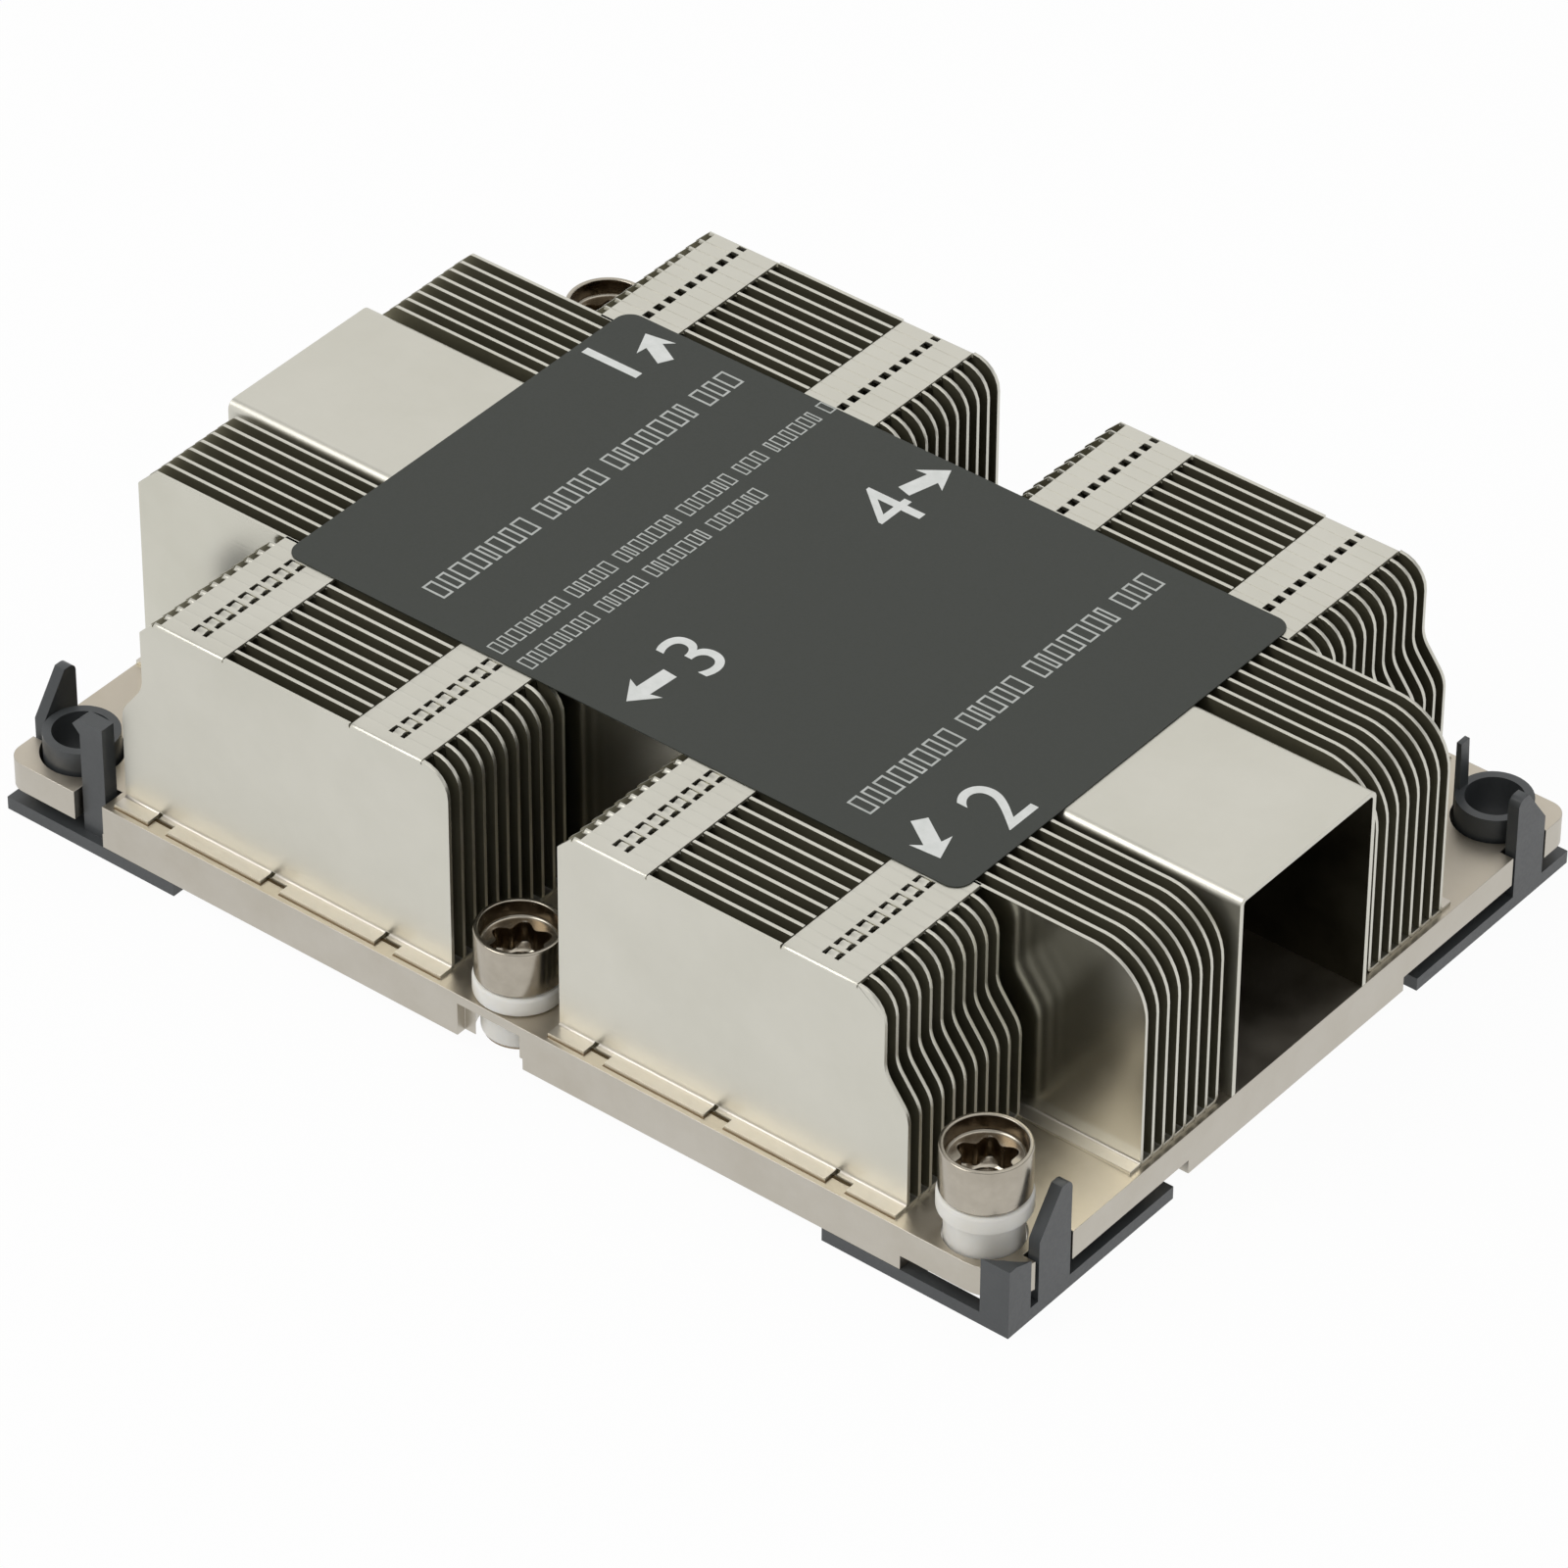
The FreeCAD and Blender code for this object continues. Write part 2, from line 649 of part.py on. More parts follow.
def captive_nuts():
    pieces = []
    masters = None
    for number, (x, y, lifted) in enumerate(NUT_PLACES, start=1):
        z = plate_top + get("end_gap") / 2
        if lifted:
            z = z + get("nut_lift")
        if masters is None:
            sleeve = nut_sleeve("nut_sleeve_%d" % number)
            nut = captive_nut("captive_nut_%d" % number)
            masters = (sleeve, nut)
            place(sleeve, x, y, z)
            place(nut, x, y, z)
        else:
            sleeve = twin("nut_sleeve_%d" % number, masters[0].Tip, x, y, z)
            nut = twin("captive_nut_%d" % number, masters[1].Tip, x, y, z)
        pieces += [sleeve, nut]
    return pieces


# Package carrier: a moulded frame below the plate, with collars around the guide pins,
# hooks over the short edges, corner posts and snap latches that come up beside the fins.
def block_of(name, left, right, near, far, low, high):
    item = doc.addObject("Part::Box", name)
    bind(item, "Length", right - left)
    bind(item, "Width", far - near)
    bind(item, "Height", high - low)
    place(item, left, near, low)
    return item


def round_of(name, x, y, radius, low, high):
    """An upright cylinder between two levels."""
    item = doc.addObject("Part::Cylinder", name)
    bind(item, "Radius", radius)
    bind(item, "Height", high - low)
    place(item, x, y, low)
    return item


def fused(name, items):
    item = doc.addObject("Part::MultiFuse", name)
    item.Shapes = items
    return item


def minus(name, base, tool):
    item = doc.addObject("Part::Cut", name)
    item.Base = base
    item.Tool = tool
    return item


def prism(name, points, plane_axis, start, depth):
    """A straight prism with a drawn outline, standing along X or along Y."""
    body = doc.addObject("PartDesign::Body", name)
    role = "YZ_Plane" if plane_axis == "x" else "XZ_Plane"
    sketch = outline(body, name + "_outline", role, points)
    extrude(body, sketch, depth, backward=(plane_axis == "y"))
    if plane_axis == "x":
        place(body, start, 0.0, 0.0)
    else:
        place(body, 0.0, start, 0.0)
    return body


def hook(name, side, across):
    """A hook over a short edge, with a slanted side towards the corner."""
    low, top = block_bottom / 2, plate_top + get("hook_tall")
    inner = (hook_middle - get("hook_width") / 2) * across
    outer = (hook_middle + get("hook_width") / 2) * across
    tip = inner + get("hook_tip") * across
    points = [(inner, low), (outer, low), (outer, top - get("hook_shoulder")), (tip, top),
              (inner, top)]
    start = half_length - get("hook_sheet") if side > 0 else -half_length
    body = prism(name, points, "x", start, get("hook_sheet"))
    round_edges(body, name + "_round", 0, [(inner, top)], get("hook_round"))
    return body


def latch(name, side):
    """A snap latch beside a corner stack, with its barb towards the short edge."""
    low, top = block_bottom / 2, plate_top + get("latch_tall")
    middle = half_length - get("latch_inset")
    inner = (middle - get("latch_width") / 2) * side
    outer = (middle + get("latch_width") / 2) * side
    barb = outer + get("latch_barb") * side
    head = top - get("latch_head")
    points = [(inner, low), (outer, low), (outer, head), (barb, (head + top) / 2),
              (outer, top), (inner, top)]
    edge = half_width - get("latch_edge")
    start = edge - get("latch_sheet") if side > 0 else -edge
    return prism(name, points, "y", start, get("latch_sheet"))


def finger(name, side):
    """A tapered finger that stands on the inner side of a guide collar."""
    low, top = plate_top, plate_top + get("finger_tall")
    inner = (guide_side - guide_collar) * side
    foot = inner + get("finger_width") * side
    point = inner + get("finger_point") * side
    points = [(inner, low), (foot, low), (point, top), (inner, top)]
    start = guide_across * side - get("finger_depth")
    return prism(name, points, "y", start, get("finger_depth"))


def post(name, side):
    """A corner post with a slanted top, hollowed to follow the plate's rounded corner."""
    near, far = -half_width, -half_width + get("post_corner")
    low, top = block_bottom / 2, plate_top + get("post_tall")
    points = [(near, low), (far, low), (far, plate_top), (near + get("post_flat"), top),
              (near, top)]
    start = half_length - get("post_corner") if side > 0 else -half_length
    solid = prism(name + "_block", [(y * side, z) for y, z in points], "x", start,
                  get("post_corner"))
    hollow = round_of(name + "_hollow", (half_length - get("post_corner")) * side,
                      (get("post_corner") - half_width) * side,
                      get("post_corner") + get("fit_gap"), low - cut_over, top + cut_over)
    return minus(name, solid, hollow)


def carrier_openings(bottom, top):
    """What is cut from the carrier's plate: package window, edge recesses and nut openings."""
    low, high = bottom - cut_over, top + cut_over
    tools = [block_of("carrier_window", -window_x, window_x, -window_y, window_y, low, high)]
    long_x = half_length - get("long_pad")
    short_y = half_width - get("short_pad")
    recess = get("carrier_recess")
    for side in (-1, 1):
        near, far = in_order((half_width - recess) * side, (half_width + cut_over) * side)
        tools.append(block_of("carrier_long_recess_%d" % (side + 1), -long_x, long_x,
                              near, far, low, high))
        left, right = in_order((half_length - recess) * side, (half_length + cut_over) * side)
        tools.append(block_of("carrier_short_recess_%d" % (side + 1), left, right,
                              -short_y, short_y, low, high))
    reach = collar_radius + get("pass_clear")
    edge = half_width - nut_across - get("carrier_thick")
    for number, (x, y, lifted) in enumerate(NUT_PLACES):
        outward = edge if lifted else reach
        near, far = (y - reach, y + outward) if y.number > 0 else (y - outward, y + reach)
        tools.append(block_of("carrier_nut_pass_%d" % number, x - reach, x + reach,
                              near, far, low, high))
    return tools


def package_carrier():
    bottom, top = middle_line, block_bottom
    frame = block_of("carrier_frame", -half_length, half_length, -half_width, half_width,
                     bottom, top)
    plain = minus("carrier_plate", frame,
                  fused("carrier_openings", carrier_openings(bottom, top)))

    collar_top = plate_top + get("guide_tall")
    uprights = [latch("snap_latch", -1), finger("collar_finger", 1)]
    bores = []
    for side in (-1, 1):
        x, y = guide_side * side, guide_across * side
        uprights.append(round_of("guide_collar_%d" % (side + 1), x, y, guide_collar,
                                 bottom, collar_top))
        bores.append(round_of("guide_bore_%d" % (side + 1), x, y, get("guide_bore"),
                              bottom - cut_over, plate_top + get("finger_tall") + cut_over))
        uprights.append(post("corner_post_%d" % (side + 1), side))
        for across in (-1, 1):
            uprights.append(hook("edge_hook_%d%d" % (side + 1, across + 1), side, across))
    whole = fused("carrier_whole", [plain] + uprights)
    carrier = minus("package_carrier", whole, fused("guide_bores", bores))
    carrier.Label = "package_carrier"
    return carrier


pieces = [base_plate()]
for corner, side, inward in (("near_left", -1, 1), ("near_right", 1, 1),
                             ("far_left", -1, -1), ("far_right", 1, -1)):
    pieces += corner_stack(corner, side, inward)
pieces += [long_group("long_fins_near", 1), long_group("long_fins_far", -1)]
pieces += [air_channel(), label()]
pieces += captive_nuts()
pieces.append(package_carrier())
doc.recompute()

for item in doc.Objects:
    if "Invalid" in item.State or "Error" in item.State:
        raise ValueError("%s failed: %s" % (item.Name, item.State))
for piece in pieces:
    if piece.Shape.isNull() or not piece.Shape.isValid():
        raise ValueError("bad shape: " + piece.Label)

os.makedirs("parts", exist_ok=True)
for piece in pieces:
    piece.Shape.exportStep("parts/%s.step" % piece.Label)
print("%d pieces written" % len(pieces))
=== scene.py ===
# %% [markdown]
# A passive heatsink for a flat server is a stack of thin metal fins soldered to a
# nickel-plated plate, with a square tunnel through the middle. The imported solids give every
# size. This script dresses them: it rebuilds each folded sheet with its bends, eases the
# machined edges and gives each surface a finish of its own. First the solids are loaded.

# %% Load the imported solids
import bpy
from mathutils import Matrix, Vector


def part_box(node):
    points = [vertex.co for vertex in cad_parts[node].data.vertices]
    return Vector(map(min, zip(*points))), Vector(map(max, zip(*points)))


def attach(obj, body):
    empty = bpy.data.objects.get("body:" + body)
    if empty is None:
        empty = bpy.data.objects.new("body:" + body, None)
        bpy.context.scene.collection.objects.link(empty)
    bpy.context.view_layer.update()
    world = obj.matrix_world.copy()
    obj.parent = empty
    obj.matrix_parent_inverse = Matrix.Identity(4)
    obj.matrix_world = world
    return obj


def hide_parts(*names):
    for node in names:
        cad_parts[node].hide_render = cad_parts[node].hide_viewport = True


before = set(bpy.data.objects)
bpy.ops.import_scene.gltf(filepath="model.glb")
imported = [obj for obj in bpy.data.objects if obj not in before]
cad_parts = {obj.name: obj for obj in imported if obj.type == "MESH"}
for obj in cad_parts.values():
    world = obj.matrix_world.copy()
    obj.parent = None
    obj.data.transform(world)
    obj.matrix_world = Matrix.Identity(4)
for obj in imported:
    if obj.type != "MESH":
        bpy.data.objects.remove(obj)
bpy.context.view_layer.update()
print("solids:", len(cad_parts))

# %% Modules and units
import math
import bmesh
import bpy
from mathutils import Matrix, Vector

MM = 0.001


def box_mm(node):
    """Lowest and highest corner of a solid, in millimetres."""
    low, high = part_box(node)
    return low / MM, high / MM


def add_object(name, data):
    """An object around a mesh, a curve, a lamp or a camera, put into the scene."""
    made = bpy.data.objects.new(name, data)
    bpy.context.scene.collection.objects.link(made)
    return made


print("plate, in millimetres:", [[round(v, 2) for v in spot] for spot in box_mm("base_plate")])

# %% [markdown]
# The camera stands where the photographer stood: high on the near right corner, far away and
# with a long lens, so that the parallel edges stay almost parallel. A Track To constraint
# could aim it, but would leave out the slight roll. So its angles are turned into three unit
# vectors, which are the columns of the camera's matrix.

# %% Camera
AZIMUTH, ELEVATION, ROLL = math.radians(38.484), math.radians(38.339), math.radians(0.338)
DISTANCE = 0.75639
AIM = Vector((0.0, -0.000176, 0.0057))
LENS, SENSOR = 204.4, 36.0
CLIP_START = 0.01


def camera_axes():
    """Unit vectors to the camera's right, to its top and to its back."""
    back = Vector((math.sin(AZIMUTH) * math.cos(ELEVATION),
                   -math.cos(AZIMUTH) * math.cos(ELEVATION),
                   math.sin(ELEVATION)))
    right = Vector((math.cos(AZIMUTH), math.sin(AZIMUTH), 0.0))
    up = back.cross(right)
    turned_right = right * math.cos(ROLL) + up * math.sin(ROLL)
    turned_up = up * math.cos(ROLL) - right * math.sin(ROLL)
    return turned_right, turned_up, back


def add_camera():
    right, up, back = camera_axes()
    data = bpy.data.cameras.new("camera")
    data.lens = LENS
    data.sensor_width = SENSOR
    data.clip_start = CLIP_START
    made = add_object("camera", data)
    turn = Matrix((right, up, back)).transposed().to_4x4()
    made.matrix_world = Matrix.Translation(AIM + back * DISTANCE) @ turn
    bpy.context.scene.camera = made
    return made


camera = add_camera()
print("camera at", [round(v, 3) for v in camera.matrix_world.translation])

# %% [markdown]
# A colour picked from a picture is stored for the eye, and a shader wants it as light. This
# helper converts the one into the other. Every material is then a Principled shader whose
# constants sit on its own sockets; what changes over the surface comes from node groups.


# %% Colours and a plain material
def seen(red, green, blue):
    """A colour as a picture shows it, 0 to 255, as the linear values of a shader."""
    linear = []
    for part in (red / 255, green / 255, blue / 255):
        linear.append(part / 12.92 if part <= 0.04045 else ((part + 0.055) / 1.055) ** 2.4)
    return (*linear, 1.0)


def new_material(name, **constants):
    """A material with one Principled shader, whose sockets take the given constants."""
    material = bpy.data.materials.new(name)
    material.use_nodes = True
    shader = material.node_tree.nodes["Principled BSDF"]
    for label, value in constants.items():
        shader.inputs[label.replace("_", " ")].default_value = value
    return material, shader


print("a middle grey, as light:", round(seen(128, 128, 128)[0], 3))

# %% [markdown]
# Three effects are shared by the finishes: cloudy patches, fine drawn lines and a pebbled
# grain. Each is a node group that gives a mask and a height. Pictures could do the same, but
# a noise needs no file and has no seams. Object coordinates are in metres, so a scale of
# 1000 puts one cell on each millimetre.


# %% Helpers for node groups
def map_range(tree, source, low, high, at_low=0.0, at_high=1.0):
    """Maps a value from low to high onto at_low to at_high."""
    node = tree.nodes.new("ShaderNodeMapRange")
    for label, value in (("From Min", low), ("From Max", high), ("To Min", at_low),
                         ("To Max", at_high)):
        node.inputs[label].default_value = value
    tree.links.new(source, node.inputs["Value"])
    return node.outputs["Result"]


def new_group(name):
    """An empty group, with a scale going in and a mask and a height coming out."""
    group = bpy.data.node_groups.new(name, "ShaderNodeTree")
    for label, way in (("Scale", "INPUT"), ("Mask", "OUTPUT"), ("Height", "OUTPUT")):
        group.interface.new_socket(label, in_out=way, socket_type="NodeSocketFloat")
    return group


def wire_group(group, texture, output, low, high, factors=(1.0, 1.0, 1.0)):
    """Feeds a texture with stretched object coordinates, and spreads what it gives."""
    start = group.nodes.new("NodeGroupInput")
    end = group.nodes.new("NodeGroupOutput")
    position = group.nodes.new("ShaderNodeTexCoord")
    mapping = group.nodes.new("ShaderNodeMapping")
    mapping.inputs["Scale"].default_value = factors
    group.links.new(position.outputs["Object"], mapping.inputs["Vector"])
    group.links.new(mapping.outputs["Vector"], texture.inputs["Vector"])
    group.links.new(start.outputs["Scale"], texture.inputs["Scale"])
    mask = map_range(group, texture.outputs[output], low, high)
    for label in ("Mask", "Height"):
        group.links.new(mask, end.inputs[label])


# %% Cloudy patches and drawn lines
LINE_NOISE = (3.0, 0.65, 0.3, 0.7)


def noise_group(name, detail, roughness, low, high, *factors):
    """A noise. Factors make it long one way and short the others, as drawn lines are."""
    group = new_group(name)
    noise = group.nodes.new("ShaderNodeTexNoise")
    noise.inputs["Detail"].default_value = detail
    noise.inputs["Roughness"].default_value = roughness
    wire_group(group, noise, "Fac", low, high, *factors)
    return group


CLOUDS = noise_group("cloudy_patches", 5.0, 0.6, 0.32, 0.68)
ROLLED_LINES = noise_group("rolled_lines", *LINE_NOISE, (0.02, 1.0, 1.0))
TURNED_LINES = noise_group("turned_lines", *LINE_NOISE, (0.03, 0.03, 1.0))


# %% Pebbled grain
def grain_group():
    group = new_group("pebbled_grain")
    cells = group.nodes.new("ShaderNodeTexVoronoi")
    cells.feature = "SMOOTH_F1"
    cells.inputs["Smoothness"].default_value = 0.6
    wire_group(group, cells, "Distance", 0.1, 0.8)
    return group


GRAIN = grain_group()
print("node groups:", [group.name for group in bpy.data.node_groups])


# %% Placing a group in a material
def place_group(material, group, scale):
    """Puts a group into a material, and gives what comes out of it."""
    node = material.node_tree.nodes.new("ShaderNodeGroup")
    node.node_tree = group
    node.inputs["Scale"].default_value = scale
    return node.outputs


def tint(material, shader, mask, first, second):
    """Base colour between two colours, by a mask."""
    mix = material.node_tree.nodes.new("ShaderNodeMix")
    mix.data_type = "RGBA"
    mix.inputs["A"].default_value = seen(*first)
    mix.inputs["B"].default_value = seen(*second)
    material.node_tree.links.new(mask, mix.inputs["Factor"])
    material.node_tree.links.new(mix.outputs["Result"], shader.inputs["Base Color"])


def vary_roughness(material, shader, mask, low, high):
    result = map_range(material.node_tree, mask, 0.0, 1.0, low, high)
    material.node_tree.links.new(result, shader.inputs["Roughness"])


def raise_bumps(material, shader, height, depth, strength):
    """Bumps with a depth in millimetres."""
    node = material.node_tree.nodes.new("ShaderNodeBump")
    node.inputs["Distance"].default_value = depth * MM
    node.inputs["Strength"].default_value = strength
    material.node_tree.links.new(height, node.inputs["Height"])
    material.node_tree.links.new(node.outputs["Normal"], shader.inputs["Normal"])


# %% [markdown]
# The fins are rolled aluminium with a satin nickel flash: pale, slightly warm, with faint
# lines along the roll. The long fins are smoother outside, so they mirror the dark stacks.
# The plate is thicker plating on copper, warmer and cloudier. Dark brown lines are painted
# along the visible feet and in their notches, as painted shadow. The turned nuts are brighter
# and show rings from the lathe; the walls in their cups, sockets and threads are painted
# darker, as painted shade.
# One function can make them all, as they differ only in colours and scales.

# %% Metals
# For each skin: the scale of its patches, and the group, scale, depth in millimetres and
# strength of its lines.
FIN_SKIN = (70.0, ROLLED_LINES, 2200.0, 0.002, 0.6)
PLATE_SKIN = (160.0, ROLLED_LINES, 1600.0, 0.004, 0.7)
NUT_SKIN = (400.0, TURNED_LINES, 5200.0, 0.004, 0.5)


def metal(name, skin, rough, first, second, metallic=1.0):
    """Metal between two roughnesses and two colours, with its lines as fine bumps."""
    patches, group, scale, depth, strength = skin
    material, shader = new_material(name, Metallic=metallic)
    clouds = place_group(material, CLOUDS, patches)
    lines = place_group(material, group, scale)
    tint(material, shader, clouds["Mask"], first, second)
    vary_roughness(material, shader, clouds["Mask"], *rough)
    raise_bumps(material, shader, lines["Height"], depth, strength)
    return material


FIN_METAL = metal("fin_sheet_metal", FIN_SKIN, (0.36, 0.46), (203, 201, 190), (213, 211, 201))
# Painted shade: the faces of a fin between fins, under its folds and on its window ledges.
FIN_GAP_SHADE = metal("fin_sheet_painted_gap_shade", FIN_SKIN, (0.36, 0.46), (122, 118, 98),
                   (134, 130, 110), 0.7)
LONG_FACE = metal("long_fin_face", FIN_SKIN, (0.18, 0.26), (198, 196, 184), (208, 206, 195))
PLATE_METAL = metal("plate_nickel", PLATE_SKIN, (0.34, 0.46), (190, 181, 165), (202, 194, 180))
PLATE_EDGE = metal("plate_edge_nickel", PLATE_SKIN, (0.3, 0.4), (182, 176, 164),
                   (193, 188, 178))
FOOT_METAL = metal("foot_metal", PLATE_SKIN, (0.36, 0.48), (208, 201, 189), (216, 211, 202))
# Painted shadow: the dark line along the free edge of a visible foot.
FOOT_SHADOW_LINE = metal("foot_painted_shadow_line", PLATE_SKIN, (0.4, 0.55), (112, 96, 76), (142, 124, 100))
# Painted shade in the notches of the visible feet.
NOTCH_PAINTED_SHADE = metal("notch_painted_shade", PLATE_SKIN, (0.45, 0.6), (74, 62, 42), (96, 82, 60))
# Painted shade: the inside of the tunnel.
CHANNEL_PAINTED_SHADE = metal("channel_inside_painted_shade", PLATE_SKIN, (0.42, 0.54), (76, 72, 58),
                       (90, 86, 72))
NUT_METAL = metal("turned_nut_steel", NUT_SKIN, (0.18, 0.28), (164, 157, 144), (180, 173, 160))
# Painted shade on the walls inside a nut's cup, socket and thread.
NUT_PAINTED_SHADE = metal("nut_hollow_painted_shade", NUT_SKIN, (0.18, 0.28), (104, 90, 72), (150, 136, 116))
print("metals:", len(bpy.data.materials))

# %% [markdown]
# The sleeves are natural nylon: milky, with light that wanders a little below the surface.
# The carrier is black-grey moulded plastic with a fine grain. The label is a printed film,
# dark grey with white marks.


# %% Plastics and the label
def nylon():
    material, shader = new_material("natural_nylon", Subsurface_Weight=0.5,
                                    Subsurface_Scale=0.0008,
                                    Subsurface_Radius=(1.0, 0.95, 0.85))
    clouds = place_group(material, CLOUDS, 300.0)
    tint(material, shader, clouds["Mask"], (242, 239, 230), (248, 246, 240))
    vary_roughness(material, shader, clouds["Mask"], 0.32, 0.44)
    return material


def carrier_plastic():
    material, shader = new_material("moulded_carrier_plastic")
    grain = place_group(material, GRAIN, 3200.0)
    clouds = place_group(material, CLOUDS, 120.0)
    tint(material, shader, clouds["Mask"], (62, 65, 67), (72, 75, 77))
    vary_roughness(material, shader, grain["Mask"], 0.3, 0.4)
    raise_bumps(material, shader, grain["Height"], 0.008, 0.3)
    return material


def label_film():
    material, shader = new_material("label_film")
    grain = place_group(material, GRAIN, 4200.0)
    tint(material, shader, grain["Mask"], (42, 46, 40), (48, 52, 46))
    vary_roughness(material, shader, grain["Mask"], 0.48, 0.6)
    raise_bumps(material, shader, grain["Height"], 0.004, 0.4)
    return material


def label_print(name, first, second):
    material, shader = new_material(name, Roughness=0.6)
    clouds = place_group(material, CLOUDS, 900.0)
    tint(material, shader, clouds["Mask"], first, second)
    return material


NYLON = nylon()
CARRIER_PLASTIC = carrier_plastic()
LABEL_FILM = label_film()
LABEL_PRINT = label_print("label_print", (216, 219, 216), (228, 230, 228))
LABEL_GREY_PRINT = label_print("label_grey_print", (172, 176, 172), (192, 195, 192))
print("materials:", len(bpy.data.materials))

# %% [markdown]
# Every piece is made the same way at the end: a mesh in millimetres becomes an object in
# metres, its modifiers are applied, edges sharper than an angle stay sharp, and the piece is
# put on its body while the solid that it stands for is hidden. The modifiers could stay live,
# but once they are applied, a script can look at every face and choose its finish.

# %% Helpers for pieces
EASE_ANGLE = 35.0
SHARP_ANGLE = 38.0


def new_piece(name, points, faces, materials):
    mesh = bpy.data.meshes.new(name)
    mesh.from_pydata([Vector(point) * MM for point in points], [], faces)
    mesh.update()
    for material in materials:
        mesh.materials.append(material)
    return add_object(name, mesh)


def thicken(piece, thickness, even=True, back_slot=0):
    """Grows a sheet to both sides. Its back takes the finish in back_slot."""
    modifier = piece.modifiers.new("thickness", "SOLIDIFY")
    modifier.thickness = thickness * MM
    modifier.offset = 0.0
    modifier.use_even_offset = even
    modifier.material_offset = back_slot


def ease(piece, width, segments=2, edge_slot=None):
    """Breaks the edges by a width in millimetres."""
    modifier = piece.modifiers.new("eased_edges", "BEVEL")
    modifier.width = width * MM
    modifier.segments = segments
    modifier.limit_method = "ANGLE"
    modifier.angle_limit = math.radians(EASE_ANGLE)
    modifier.use_clamp_overlap = True
    if edge_slot is not None:
        modifier.material = edge_slot


def turn_faces(mesh, aligned):
    """Turns a closed mesh inside out where it needs it. Aligned faces look one way first."""
    shape = bmesh.new()
    shape.from_mesh(mesh)
    if aligned:
        bmesh.ops.recalc_face_normals(shape, faces=shape.faces)
    if shape.calc_volume(signed=True) < 0:
        bmesh.ops.reverse_faces(shape, faces=shape.faces)
    shape.to_mesh(mesh)
    shape.free()


def apply_modifiers(piece, sharp=SHARP_ANGLE):
    """Makes the modifiers part of the mesh. A sheet's faces are aligned before it grows."""
    turn_faces(piece.data, True)
    graph = bpy.context.evaluated_depsgraph_get()
    mesh = bpy.data.meshes.new_from_object(piece.evaluated_get(graph))
    piece.modifiers.clear()
    old = piece.data
    piece.data = mesh
    bpy.data.meshes.remove(old)
    turn_faces(mesh, False)
    mesh.polygons.foreach_set("use_smooth", [True] * len(mesh.polygons))
    mesh.set_sharp_from_angle(angle=math.radians(sharp))
    mesh.update()


def weigh_normals(piece):
    """Large faces keep flat shading where they meet small bends."""
    modifier = piece.modifiers.new("weighted_normals", "WEIGHTED_NORMAL")
    modifier.keep_sharp = True
    modifier.weight = 100


def tie(piece, slot, body="root", *nodes):
    """Puts a piece on its body and hides the solids that it replaces. The slot is not used."""
    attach(piece, body)
    if nodes:
        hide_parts(*nodes)
    return piece


# %% [markdown]
# Rounded corners turn up in every outline: the knees of the fins, the label, the folds of
# the channel, even the profiles of the turned nuts. A Bevel modifier rounds all corners
# alike. This helper takes a list of corners, each with a radius of its own, and puts an arc
# of short chords in place of each corner.


# %% Rounded outlines
def rotated(vector, angle):
    cosine, sine = math.cos(angle), math.sin(angle)
    return Vector((vector.x * cosine - vector.y * sine, vector.x * sine + vector.y * cosine))


def rounded(corners, chords=6):
    """An outline with an arc at each corner, given as x, y, radius."""
    points = []
    total = len(corners)
    for i, (x, y, radius) in enumerate(corners):
        here = Vector((x, y))
        before = Vector(corners[i - 1][:2]) - here
        after = Vector(corners[(i + 1) % total][:2]) - here
        opening = before.angle(after, math.pi)
        if radius <= 0.0 or abs(opening - math.pi) < 1e-4:
            points.append(here)
            continue
        reach = radius / math.tan(opening / 2)
        start, end = here + before.normalized() * reach, here + after.normalized() * reach
        middle = here + (before.normalized() + after.normalized()).normalized() \
            * (radius / math.sin(opening / 2))
        first, last = start - middle, end - middle
        sweep = first.angle_signed(last)
        for step in range(chords + 1):
            points.append(middle + rotated(first, -sweep * step / chords))
    return points


print("corner of radius 1 has", len(rounded([(0, 0, 1), (4, 0, 0), (0, 4, 0)])) - 2, "points")

# %% [markdown]
# A fin is one sheet, 0.35 thick. Its body stands upright, its foot is folded outward on the
# plate, and at the top two bands are folded inward until they reach the next fin. Drawing
# the middle of the sheet and thickening it afterwards keeps the bends true: the same few
# rows of points make the inner and the outer radius at once. The sizes are read from the
# solids, so the two always agree.

# %% Sizes of the fins
PLATE_TOP = box_mm("base_plate")[1].z
FIN_TOP = box_mm("air_channel")[1].z
FIN_SHEET = 0.35
PITCH = box_mm("corner_fin_near_left_03")[0].y - box_mm("corner_fin_near_left_02")[0].y
TOP_BEND, FOOT_BEND = 0.2, 0.42
BEND_STEPS = 4
FLANGE_LAP = 0.27
TOP_EDGE = FIN_TOP - FIN_SHEET / 2 - TOP_BEND
FOOT_EDGE = PLATE_TOP + FIN_SHEET / 2 + FOOT_BEND
FLANGE_REACH = PITCH - FIN_SHEET / 2 + FLANGE_LAP
print("pitch", round(PITCH, 3), "flange reach", round(FLANGE_REACH, 3))


